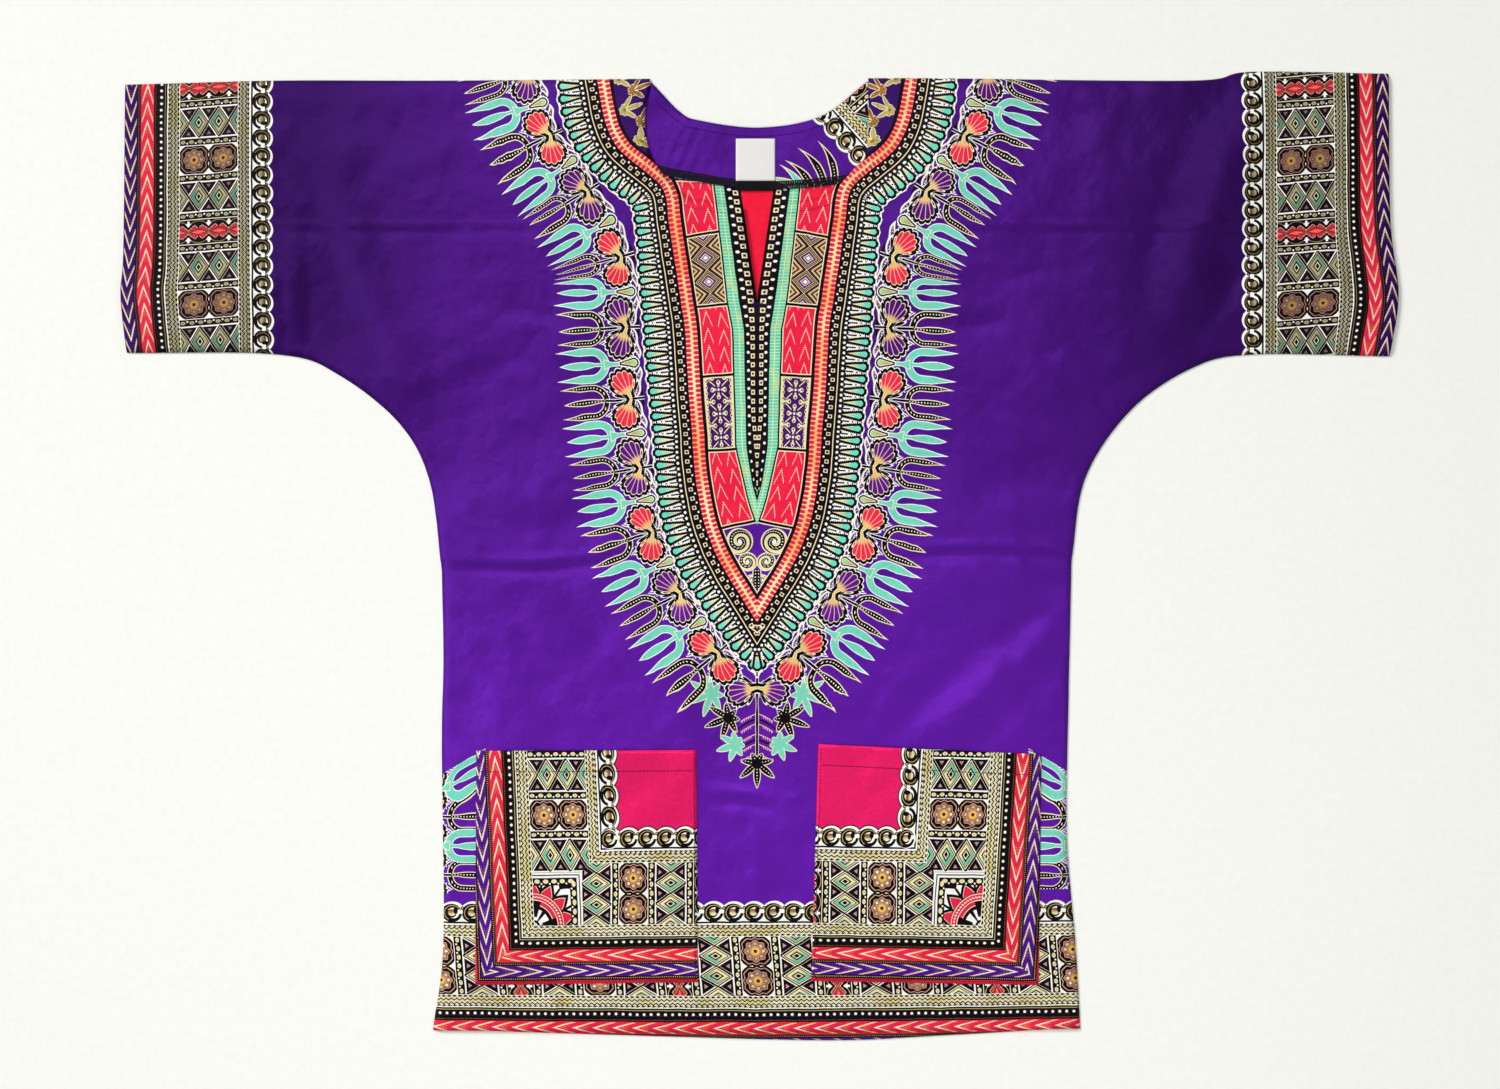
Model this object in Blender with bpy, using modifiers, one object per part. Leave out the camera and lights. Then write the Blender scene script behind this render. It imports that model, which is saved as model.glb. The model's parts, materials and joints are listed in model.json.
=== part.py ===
"""Dashiki shirt laid flat on a surface, with its front up.

A wide back panel and a wide front panel, each cut in one with its short
sleeves, lie on each other. The back panel rests on the surface. Its inside
shows in the neck opening, where it carries a facing, a label and a size tab.
Two patch pockets are sewn on the lower front.

Tables and sizes are in millimetres and become metres in the meshes. X runs
from cuff to cuff, Y from hem to neck and Z up. The origin is under the middle
of the garment, on the surface that it lies on.
"""

import math
from dataclasses import dataclass

import bpy
import numpy as np
from mathutils import Vector
from mathutils.geometry import delaunay_2d_cdt

MM = 0.001

# Cloth walls and how they lie on each other
CLOTH = 1.0
SEAM_GAP = 0.3
BACK_TOP = CLOTH
FACING_BASE = BACK_TOP + SEAM_GAP
LABEL_BASE = FACING_BASE + CLOTH + SEAM_GAP
PANEL_GAP = 0.45
FRONT_BASE = BACK_TOP + PANEL_GAP
BACK_INSET = 1.5
POCKET_GAP = 0.5

# Spacing of mesh points along edges and over the front
EDGE_STEP = 15.0
GRID_STEP = 18.0
GRID_MARGIN = 0.55 * GRID_STEP
CURVE_SAMPLES = 14
FOLD_END_SOFTNESS = 0.7

# How far the front stands off the back away from its edges
PUFF = 2.6
PUFF_REACH = 75.0
NECK_LIFT = 1.4
NECK_LIFT_REACH = 60.0
POCKET_MOUTH_GAPE = 1.6
POCKET_MOUTH_REACH = 45.0

# The outline, edge by edge, counter-clockwise from the left neck point
SHOULDER_LEFT = ((-94.0, 409.5), (-270.0, 408.0), (-414.0, 408.0), (-545.0, 404.5))
CUFF_LEFT = ((-545.0, 404.5), (-546.5, 263.0), (-549.0, 224.0), (-544.0, 174.5))
UNDERARM_LEFT = (
    (-544.0, 174.5),
    (-412.5, 173.0),
    (-361.0, 155.0),
    (-309.0, 113.0),
    (-283.5, 64.0),
    (-273.0, -12.5),
)
SIDE_LEFT = ((-273.0, -12.5), (-271.5, -90.0), (-273.0, -163.0), (-271.5, -330.0), (-280.5, -408.0))
HEM_FRONT = ((-280.5, -408.0), (0.0, -409.5), (275.5, -406.5))
SIDE_RIGHT = ((275.5, -406.5), (271.5, -335.0), (264.0, -240.0), (265.5, -120.0), (268.0, -4.0))
UNDERARM_RIGHT = (
    (268.0, -4.0),
    (280.0, 67.0),
    (318.5, 124.5),
    (370.0, 160.5),
    (422.0, 173.0),
    (541.5, 171.5),
)
CUFF_RIGHT = ((541.5, 171.5), (549.0, 224.0), (542.0, 288.5), (540.5, 414.0))
SHOULDER_RIGHT = ((540.5, 414.0), (422.0, 415.5), (370.0, 408.0), (155.0, 410.0), (93.5, 410.0))

# The hem of the back hangs a little lower than the front's in the middle
HEM_BACK = ((-280.5, -407.5), (-137.0, -412.0), (55.0, -417.0), (155.0, -413.0), (275.5, -406.0))

# The neck: a scooped front with a short slit, and a shallow back
NECK_FRONT_RIGHT = ((93.5, 410.0), (92.5, 349.0), (80.5, 331.5), (59.0, 310.0), (34.0, 303.0), (10.0, 299.5))
NECK_SLIT = ((10.0, 299.5), (0.0, 217.0), (-2.5, 217.0), (-14.0, 299.5))
NECK_FRONT_LEFT = ((-14.0, 299.5), (-41.0, 303.5), (-65.0, 310.0), (-90.0, 337.5), (-98.5, 370.0), (-94.0, 409.5))
NECK_BACK = ((93.5, 410.0), (52.0, 378.0), (0.0, 368.5), (-51.0, 374.5), (-68.5, 382.0), (-94.0, 409.5))

# The facing on the inside of the back neck
FACING_NECK = ((92.5, 407.0), (52.0, 377.2), (0.0, 367.7), (-51.0, 373.7), (-68.5, 381.2), (-93.0, 406.5))
FACING_END_LEFT = ((-93.0, 406.5), (-105.0, 366.0), (-96.0, 331.0))
FACING_LOWER = ((-96.0, 331.0), (-68.5, 324.5), (0.0, 315.0), (78.0, 321.0), (101.0, 333.0))
FACING_END_RIGHT = ((101.0, 333.0), (101.5, 366.0), (92.5, 407.0))

LABEL_CENTRE = (-3.5, 340.0)
LABEL_SIZE = (33.5, 36.0)
TAB_SIZE = (33.5, 8.2)

POCKET_LEFT = ((-243.0, -167.5), (-244.0, -368.5), (-53.0, -366.0), (-54.0, -166.5))
POCKET_RIGHT = ((50.5, -161.5), (44.5, -365.0), (239.5, -368.5), (242.0, -170.5))


@dataclass(frozen=True)
class Fold:
    """A soft fold of the front: a ridge, or a trough where its height is negative."""

    start: tuple
    middle: tuple
    end: tuple
    half_width: float
    height: float


FOLDS = (
    # right sleeve: a high diagonal ridge between two troughs
    Fold((432.0, 412.0), (392.0, 305.0), (352.0, 182.0), 20.0, 5.5),
    Fold((405.0, 408.0), (358.0, 330.0), (323.0, 190.0), 15.0, -2.4),
    Fold((424.0, 262.0), (398.0, 222.0), (370.0, 176.0), 15.0, -2.4),
    # left sleeve: a bowed diagonal ridge, and a pinch beside the cuff
    Fold((-380.0, 392.0), (-350.0, 280.0), (-292.0, 138.0), 19.0, 3.6),
    Fold((-394.0, 384.0), (-367.0, 260.0), (-311.0, 146.0), 14.0, -2.0),
    Fold((-402.0, 285.0), (-404.0, 235.0), (-400.0, 182.0), 15.0, 3.0),
    # waist, left: a long soft ridge towards the middle
    Fold((-165.0, -24.0), (-95.0, -88.0), (-34.0, -158.0), 20.0, 3.2),
    Fold((-185.0, -36.0), (-130.0, -92.0), (-62.0, -160.0), 17.0, -2.0),
    Fold((-213.0, -23.0), (-197.0, -75.0), (-182.0, -130.0), 15.0, -1.8),
    # waist, right: a long soft trough from the side seam, with its ridge
    Fold((264.0, -30.0), (198.0, -82.0), (108.0, -160.0), 15.0, -2.4),
    Fold((262.0, -52.0), (205.0, -104.0), (124.0, -168.0), 18.0, 3.4),
    # chest: broad hollows below each underarm
    Fold((-262.0, 18.0), (-205.0, 28.0), (-135.0, 10.0), 20.0, -1.9),
    Fold((177.0, 55.0), (224.0, 70.0), (272.0, 82.0), 19.0, -2.2),
    Fold((-262.0, 130.0), (-232.0, 164.0), (-188.0, 182.0), 17.0, -1.7),
)


@dataclass(frozen=True)
class Cloth:
    """The colour and finish of one piece of cloth."""

    colour: tuple
    roughness: float = 0.62
    metallic: float = 0.0


PURPLE = Cloth((0.085, 0.012, 0.32))
INSIDE = Cloth((0.075, 0.016, 0.24), roughness=0.8)
FACING_PURPLE = Cloth((0.10, 0.025, 0.34), roughness=0.7)
POCKET_RED = Cloth((0.80, 0.012, 0.075))
LABEL_WHITE = Cloth((0.86, 0.86, 0.85), roughness=0.7)
TAB_BLACK = Cloth((0.015, 0.015, 0.018), roughness=0.7)


def smooth_step(values):
    """Ease values from 0 to 1 with no corner at either end."""
    held = np.clip(values, 0.0, 1.0)
    return held * held * (3.0 - 2.0 * held)


def through(points, step):
    """Points about one step apart on a smooth curve through a few given points.

    The curve's last point is left out, so that runs join end to end.
    """
    knots = [Vector(point) for point in points]
    knots = [2.0 * knots[0] - knots[1]] + knots + [2.0 * knots[-1] - knots[-2]]
    run = []
    for before, start, end, after in zip(knots, knots[1:], knots[2:], knots[3:]):
        count = max(1, round((end - start).length / step))
        for index in range(count):
            t = index / count
            run.append(
                0.5
                * (
                    2.0 * start
                    + (end - before) * t
                    + (2.0 * before - 5.0 * start + 4.0 * end - after) * t**2
                    + (3.0 * start - before - 3.0 * end + after) * t**3
                )
            )
    return run


def straight(points, step):
    """Points about one step apart along straight runs, without the last point."""
    knots = [Vector(point) for point in points]
    run = []
    for start, end in zip(knots, knots[1:]):
        count = max(1, round((end - start).length / step))
        run.extend(start.lerp(end, index / count) for index in range(count))
    return run


def sides(step):
    """The outline that front and back share, from the left neck point to the hem and back up."""
    down = [SHOULDER_LEFT, CUFF_LEFT, UNDERARM_LEFT, SIDE_LEFT]
    up = [SIDE_RIGHT, UNDERARM_RIGHT, CUFF_RIGHT, SHOULDER_RIGHT]
    return (
        [point for edge in down for point in through(edge, step)],
        [point for edge in up for point in through(edge, step)],
    )


def front_neck(step):
    """The front's neck edge with its slit, from right to left."""
    return through(NECK_FRONT_RIGHT, step) + straight(NECK_SLIT, step) + through(NECK_FRONT_LEFT, step)


def front_outline(step):
    """The whole edge of the front panel."""
    down, up = sides(step)
    return down + through(HEM_FRONT, step) + up + front_neck(step)


def inset(points, distance):
    """A closed outline moved inwards by a distance, to the left of its direction."""
    moved = []
    for before, point, after in zip(points[-1:] + points[:-1], points, points[1:] + points[:1]):
        along = (after - before).normalized()
        moved.append(point + Vector((-along.y, along.x)) * distance)
    return moved


def back_outline(step):
    """The whole edge of the back panel, just inside the front's but for its hem."""
    down, up = sides(step)
    outline = down + through(HEM_BACK, step) + up + through(NECK_BACK, step)
    return inset(outline, BACK_INSET)


def facing_outline(step):
    """The edge of the back neck facing."""
    edges = (FACING_NECK, FACING_END_LEFT, FACING_LOWER, FACING_END_RIGHT)
    return [point for edge in edges for point in through(edge, step)]


def distance_to_run(places, run, closed=False):
    """Distances from places to a run of points, and how far along the run each nearest point is."""
    ends = np.array([tuple(point) for point in run])
    starts = ends if closed else ends[:-1]
    ends = np.roll(ends, -1, axis=0) if closed else ends[1:]
    along = ends - starts
    squared = np.maximum((along**2).sum(1), 1e-9)
    offsets = places[:, None, :] - starts[None, :, :]
    share = np.clip((offsets * along).sum(2) / squared, 0.0, 1.0)
    gaps = np.linalg.norm(offsets - share[:, :, None] * along, axis=2)
    nearest = gaps.argmin(1)
    rows = np.arange(len(places))
    return gaps[rows, nearest], (nearest + share[rows, nearest]) / len(starts)


def fold_height(places, fold):
    """The height that one fold adds at each place."""
    start, middle, end = (np.array(point) for point in (fold.start, fold.middle, fold.end))
    control = 2.0 * middle - 0.5 * (start + end)
    t = np.linspace(0.0, 1.0, CURVE_SAMPLES)[:, None]
    run = (1 - t) ** 2 * start + 2 * t * (1 - t) * control + t**2 * end
    gap, along = distance_to_run(places, run)
    taper = np.sin(math.pi * np.clip(along, 0.0, 1.0)) ** FOLD_END_SOFTNESS
    return fold.height * taper * np.exp(-((gap / fold.half_width) ** 2))


def front_height(places):
    """Height of the front's underside above the surface, at places in the plan."""
    edge, _ = distance_to_run(places, front_outline(EDGE_STEP), closed=True)
    neck, _ = distance_to_run(places, front_neck(EDGE_STEP) + [Vector(NECK_FRONT_LEFT[-1])])
    loose = smooth_step(edge / PUFF_REACH)
    lift = PUFF * loose
    for fold in FOLDS:
        lift = lift + fold_height(places, fold) * smooth_step(edge / fold.half_width)
    on_facing = NECK_LIFT * (1.0 - smooth_step(neck / NECK_LIFT_REACH))
    return FRONT_BASE + on_facing + np.maximum(lift, 0.0)


def grid_inside(outline, step, margin):
    """Staggered rows of points over the inside of an outline, clear of its edge."""
    edge = np.array([tuple(point) for point in outline])
    low, high = edge.min(0), edge.max(0)
    row_step = step * math.sqrt(3.0) / 2.0
    rows = [
        np.column_stack((xs, np.full(len(xs), y)))
        for index, y in enumerate(np.arange(low[1], high[1], row_step))
        for xs in [np.arange(low[0] + 0.5 * step * (index % 2), high[0], step)]
    ]
    places = np.concatenate(rows)
    gap, _ = distance_to_run(places, outline, closed=True)
    return places[(gap > margin) & contains(edge, places)]


def contains(edge, places):
    """Which places lie inside a closed outline, by counting the edges to their right."""
    x, y = places[:, 0:1], places[:, 1:2]
    x0, y0 = edge[:, 0], edge[:, 1]
    x1, y1 = np.roll(x0, -1), np.roll(y0, -1)
    spans = (y0 > y) != (y1 > y)
    rise = np.where(np.abs(y1 - y0) < 1e-9, 1e-9, y1 - y0)
    crossing = x0 + (y - y0) * (x1 - x0) / rise
    return (spans & (crossing > x)).sum(1) % 2 == 1


def triangulated(outline, marks=(), step=GRID_STEP):
    """Triangles over an outline, with the marked loops kept as edges inside it."""
    loops = [outline, *marks]
    places = grid_inside(outline, step, GRID_MARGIN)
    for loop in marks:
        gap, _ = distance_to_run(places, loop, closed=True)
        places = places[gap > GRID_MARGIN]
    points, edges = [], []
    for loop in loops:
        first = len(points)
        points.extend(loop)
        edges.extend((first + i, first + (i + 1) % len(loop)) for i in range(len(loop)))
    points.extend(Vector(place) for place in places)
    found = delaunay_2d_cdt(points, edges, [], 1, 1e-5)
    return np.array([tuple(point) for point in found[0]]), [tuple(face) for face in found[2]]


def cloth_material(name, cloth):
    """A Principled material for one piece."""
    material = bpy.data.materials.new(name)
    material.use_nodes = True
    shader = material.node_tree.nodes["Principled BSDF"]
    shader.inputs["Base Color"].default_value = (*cloth.colour, 1.0)
    shader.inputs["Roughness"].default_value = cloth.roughness
    shader.inputs["Metallic"].default_value = cloth.metallic
    return material


def place_object(collection, name, data, cloth):
    """Puts a mesh or curve in the scene as one piece with its own material."""
    piece = bpy.data.objects.new(name, data)
    data.materials.append(cloth_material(f"{name}_cloth", cloth))
    collection.objects.link(piece)
    return piece


def wall_from(collection, name, places, heights, faces, cloth):
    """A cloth wall: an open surface at the given heights, thickened upwards."""
    mesh = bpy.data.meshes.new(name)
    points = np.column_stack((places, heights)) * MM
    mesh.from_pydata(points.tolist(), [], faces)
    mesh.update()
    mesh.shade_smooth()
    piece = place_object(collection, name, mesh, cloth)
    wall = piece.modifiers.new("wall", "SOLIDIFY")
    wall.thickness = CLOTH * MM
    wall.offset = 1.0
    return piece


def flat_cloth(collection, name, outline, base, cloth):
    """A flat piece of cloth: a filled outline extruded to the wall's thickness."""
    curve = bpy.data.curves.new(name, "CURVE")
    curve.dimensions = "2D"
    curve.fill_mode = "BOTH"
    curve.extrude = CLOTH * MM / 2.0
    spline = curve.splines.new("POLY")
    spline.points.add(len(outline) - 1)
    for knot, point in zip(spline.points, outline):
        knot.co = (point.x * MM, point.y * MM, 0.0, 1.0)
    spline.use_cyclic_u = True
    piece = place_object(collection, name, curve, cloth)
    piece.location.z = (base + CLOTH / 2.0) * MM
    weld = piece.modifiers.new("weld", "WELD")
    weld.merge_threshold = 0.00001
    return piece


def flat_tag(collection, name, centre, size, cloth):
    """A small flat rectangle of ribbon that lies on the facing."""
    bpy.ops.mesh.primitive_cube_add(size=1.0)
    tag = bpy.context.object
    tag.name = name
    tag.data.name = name
    for point in tag.data.vertices:
        point.co.x *= size[0] * MM
        point.co.y *= size[1] * MM
        point.co.z *= CLOTH * MM
    tag.location = (centre[0] * MM, centre[1] * MM, (LABEL_BASE + CLOTH / 2.0) * MM)
    tag.data.materials.append(cloth_material(f"{name}_cloth", cloth))
    for holder in list(tag.users_collection):
        holder.objects.unlink(tag)
    collection.objects.link(tag)
    return tag


def add_pocket(collection, name, corners, front):
    """A patch pocket: the front's own triangles inside the pocket's edge, moved out."""
    places, heights, faces = front
    edge = np.array(corners)
    centres = np.array([places[list(face)].mean(0) for face in faces])
    inside = [face for face, held in zip(faces, contains(edge, centres)) if held]
    used = sorted({index for face in inside for index in face})
    renumber = {index: new for new, index in enumerate(used)}
    mouth, along = distance_to_run(places[used], [Vector(corners[-1]), Vector(corners[0])])
    gape = POCKET_MOUTH_GAPE * np.sin(math.pi * along) * (1.0 - smooth_step(mouth / POCKET_MOUTH_REACH))
    lifted = heights[used] + CLOTH + POCKET_GAP + gape
    triangles = [tuple(renumber[index] for index in face) for face in inside]
    wall_from(collection, name, places[used], lifted, triangles, POCKET_RED)


def main():
    """Builds the garment in a collection of its own."""
    for old in list(bpy.data.objects):
        bpy.data.objects.remove(old, do_unlink=True)
    collection = bpy.data.collections.new("dashiki_shirt")
    bpy.context.scene.collection.children.link(collection)

    flat_cloth(collection, "back_panel", back_outline(EDGE_STEP), 0.0, INSIDE)
    flat_cloth(collection, "neck_facing", facing_outline(EDGE_STEP), FACING_BASE, FACING_PURPLE)
    flat_tag(collection, "neck_label", LABEL_CENTRE, LABEL_SIZE, LABEL_WHITE)
    tab_y = LABEL_CENTRE[1] - LABEL_SIZE[1] / 2.0 - SEAM_GAP - TAB_SIZE[1] / 2.0
    flat_tag(collection, "size_tab", (LABEL_CENTRE[0], tab_y), TAB_SIZE, TAB_BLACK)

    pocket_edges = [straight((*corners, corners[0]), EDGE_STEP) for corners in (POCKET_LEFT, POCKET_RIGHT)]
    places, faces = triangulated(front_outline(EDGE_STEP), pocket_edges)
    heights = front_height(places)
    wall_from(collection, "front_panel", places, heights, faces, PURPLE)
    add_pocket(collection, "pocket_left", POCKET_LEFT, (places, heights, faces))
    add_pocket(collection, "pocket_right", POCKET_RIGHT, (places, heights, faces))


main()
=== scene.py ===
"""Dashiki shirt laid flat with its front up: cloth, printed finishes, stitching, light and camera.

Tables and sizes are in millimetres and become metres in the meshes. X runs from cuff to cuff,
Y from hem to neck and Z up from the floor.
"""

import json
import logging
import math
from dataclasses import dataclass, field
from enum import Enum

import bpy
import numpy as np
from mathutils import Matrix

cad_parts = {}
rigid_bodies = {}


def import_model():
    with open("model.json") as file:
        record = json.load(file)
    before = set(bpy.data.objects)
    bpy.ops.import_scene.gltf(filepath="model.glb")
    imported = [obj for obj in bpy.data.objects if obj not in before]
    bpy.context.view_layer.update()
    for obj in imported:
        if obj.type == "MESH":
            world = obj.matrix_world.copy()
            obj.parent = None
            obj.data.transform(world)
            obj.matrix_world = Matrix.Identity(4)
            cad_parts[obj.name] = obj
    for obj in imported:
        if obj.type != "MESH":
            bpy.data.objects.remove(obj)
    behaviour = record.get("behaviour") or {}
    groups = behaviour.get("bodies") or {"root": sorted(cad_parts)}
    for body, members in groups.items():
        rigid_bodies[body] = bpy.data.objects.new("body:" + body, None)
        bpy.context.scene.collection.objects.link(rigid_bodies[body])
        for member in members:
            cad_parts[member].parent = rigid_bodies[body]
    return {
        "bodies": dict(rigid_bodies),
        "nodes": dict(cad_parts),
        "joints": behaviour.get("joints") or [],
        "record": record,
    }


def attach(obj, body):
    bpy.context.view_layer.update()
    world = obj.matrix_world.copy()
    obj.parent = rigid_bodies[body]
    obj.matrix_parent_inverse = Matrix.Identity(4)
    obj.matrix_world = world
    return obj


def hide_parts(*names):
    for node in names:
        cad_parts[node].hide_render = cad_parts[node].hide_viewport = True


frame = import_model()

LOG = logging.getLogger("dashiki_shirt")
MM = 0.001
ROOT = "root"
CHUNK = 4096

# The line that the neck print is mirrored about
AXIS = -2.15

# Undersides of the solids that the cloth stands in for
FACING_BASE = 1.3
FRONT_BASE = 1.45

# Cloth as it shows
CLOTH = 0.62
CLOTH_SINK = 0.17
FRONT_STEP = 3.7
BACK_STEP = 4.6
SMALL_STEP = 2.6
CURVE_STEP = 4.0

# Slack of the front, its lift over the neck, and how the pockets gape
PUFF = 2.6
PUFF_REACH = 75.0
NECK_LIFT = 1.4
NECK_LIFT_REACH = 60.0
POCKET_MOUTH_GAPE = 1.6
POCKET_MOUTH_REACH = 45.0
FOLD_END_SOFTNESS = 0.7

# The outline, edge by edge, counter-clockwise from the left neck point
SHOULDER_LEFT = ((-94.0, 409.5), (-270.0, 408.0), (-414.0, 408.0), (-545.0, 404.5))
CUFF_LEFT = ((-545.0, 404.5), (-546.5, 263.0), (-549.0, 224.0), (-544.0, 174.5))
UNDERARM_LEFT = (
    (-544.0, 174.5), (-412.5, 173.0), (-361.0, 155.0), (-309.0, 113.0), (-283.5, 64.0), (-273.0, -12.5),
)
SIDE_LEFT = ((-273.0, -12.5), (-271.5, -90.0), (-273.0, -163.0), (-271.5, -330.0), (-280.5, -408.0))
HEM_FRONT = ((-280.5, -408.0), (0.0, -409.5), (275.5, -406.5))
SIDE_RIGHT = ((275.5, -406.5), (271.5, -335.0), (264.0, -240.0), (265.5, -120.0), (268.0, -4.0))
UNDERARM_RIGHT = (
    (268.0, -4.0), (280.0, 67.0), (318.5, 124.5), (370.0, 160.5), (422.0, 173.0), (541.5, 171.5),
)
CUFF_RIGHT = ((541.5, 171.5), (549.0, 224.0), (542.0, 288.5), (540.5, 414.0))
SHOULDER_RIGHT = ((540.5, 414.0), (422.0, 415.5), (370.0, 408.0), (155.0, 410.0), (93.5, 410.0))
HEM_BACK = ((-280.5, -407.5), (-137.0, -412.0), (55.0, -417.0), (155.0, -413.0), (275.5, -406.0))
NECK_FRONT_RIGHT = ((93.5, 410.0), (92.5, 349.0), (80.5, 331.5), (59.0, 310.0), (34.0, 303.0), (10.0, 299.5))
NECK_SLIT = ((10.0, 299.5), (0.0, 217.0), (-2.5, 217.0), (-14.0, 299.5))
NECK_FRONT_LEFT = (
    (-14.0, 299.5), (-41.0, 303.5), (-65.0, 310.0), (-90.0, 337.5), (-98.5, 370.0), (-94.0, 409.5),
)
NECK_BACK = ((93.5, 410.0), (52.0, 378.0), (0.0, 368.5), (-51.0, 374.5), (-68.5, 382.0), (-94.0, 409.5))
FACING_NECK = ((92.5, 407.0), (52.0, 377.2), (0.0, 367.7), (-51.0, 373.7), (-68.5, 381.2), (-93.0, 406.5))
FACING_END_LEFT = ((-93.0, 406.5), (-105.0, 366.0), (-96.0, 331.0))
FACING_LOWER = ((-96.0, 331.0), (-68.5, 324.5), (0.0, 315.0), (78.0, 321.0), (101.0, 333.0))
FACING_END_RIGHT = ((101.0, 333.0), (101.5, 366.0), (92.5, 407.0))
LABEL_CENTRE = (-3.5, 340.0)
LABEL_SIZE = (33.5, 36.0)
TAB_SIZE = (33.5, 8.2)
TAB_GAP = 0.3
TAB_TUCK = 2.0
LABEL_UNDERSIDE = 2.85
LABEL_WALL = 0.42
LABEL_STITCH_SINK = 0.06
TAB_UNDERSIDE = 2.35
TAB_WALL = 0.3
POCKET_LEFT = ((-243.0, -167.5), (-244.0, -368.5), (-53.0, -366.0), (-54.0, -166.5))
POCKET_RIGHT = ((50.5, -161.5), (44.5, -365.0), (239.5, -368.5), (242.0, -170.5))

# Guide lines of the neck print, on its right half from the shoulder to the tip:
# distance from the axis and height
BAND_GUIDE = (
    (132.4, 408.9), (125.6, 374.5), (115.2, 353.0), (95.5, 335.8), (84.4, 326.6), (76.8, 318.0),
    (72.8, 306.5), (71.2, 291.0), (68.8, 274.8), (64.5, 246.4), (60.2, 218.0), (56.8, 193.9),
    (53.3, 137.2), (50.7, 107.9), (49.0, 79.5), (45.1, 51.2), (40.4, 29.7), (32.7, 8.2),
    (22.4, -11.6), (11.2, -29.7), (0.0, -47.7),
)
DROP_GUIDE = (
    (162.5, 407.2), (160.8, 388.3), (155.7, 370.2), (147.9, 351.3), (135.9, 335.8), (119.5, 320.4),
    (100.6, 304.9), (96.3, 284.2), (92.9, 242.9), (89.5, 199.1), (85.2, 150.0), (80.8, 101.0),
    (77.4, 57.2), (72.2, 24.5), (65.4, 5.6), (55.9, -16.8), (49.4, -24.9), (43.0, -34.0),
    (37.8, -43.4), (31.0, -52.9), (24.1, -61.5), (17.2, -72.7), (8.6, -81.3), (0.0, -89.9),
)
FLOWER_GUIDE = (
    (196.9, 415.8), (177.2, 360.8), (145.3, 313.5), (116.1, 256.7), (111.8, 195.7), (107.5, 134.6),
    (99.8, 75.2), (89.4, 20.2), (66.2, -32.2), (33.5, -83.0), (0.0, -113.1),
)
FLOWER_FIRST = 44.7
FLOWER_PITCH = 59.8
GUIDE_LEAD = 160.0


@dataclass(frozen=True)
class Fold:
    """A soft fold of the cloth: a ridge, or a trough where its height is negative."""

    start: tuple
    middle: tuple
    end: tuple
    half_width: float
    height: float


FOLDS = (
    Fold((432.0, 412.0), (392.0, 305.0), (352.0, 182.0), 20.0, 5.5),
    Fold((405.0, 408.0), (358.0, 330.0), (323.0, 190.0), 15.0, -2.4),
    Fold((424.0, 262.0), (398.0, 222.0), (370.0, 176.0), 15.0, -2.4),
    Fold((-380.0, 392.0), (-350.0, 280.0), (-292.0, 138.0), 19.0, 3.6),
    Fold((-394.0, 384.0), (-367.0, 260.0), (-311.0, 146.0), 14.0, -2.0),
    Fold((-402.0, 285.0), (-404.0, 235.0), (-400.0, 182.0), 15.0, 3.0),
    Fold((-165.0, -24.0), (-95.0, -88.0), (-34.0, -158.0), 20.0, 3.2),
    Fold((-185.0, -36.0), (-130.0, -92.0), (-62.0, -160.0), 17.0, -2.0),
    Fold((-213.0, -23.0), (-197.0, -75.0), (-182.0, -130.0), 15.0, -1.8),
    Fold((264.0, -30.0), (198.0, -82.0), (108.0, -160.0), 15.0, -2.4),
    Fold((262.0, -52.0), (205.0, -104.0), (124.0, -168.0), 18.0, 3.4),
    Fold((-262.0, 18.0), (-205.0, 28.0), (-135.0, 10.0), 20.0, -1.9),
    Fold((177.0, 55.0), (224.0, 70.0), (272.0, 82.0), 19.0, -2.2),
    Fold((-262.0, 130.0), (-232.0, 164.0), (-188.0, 182.0), 17.0, -1.7),
)

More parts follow.
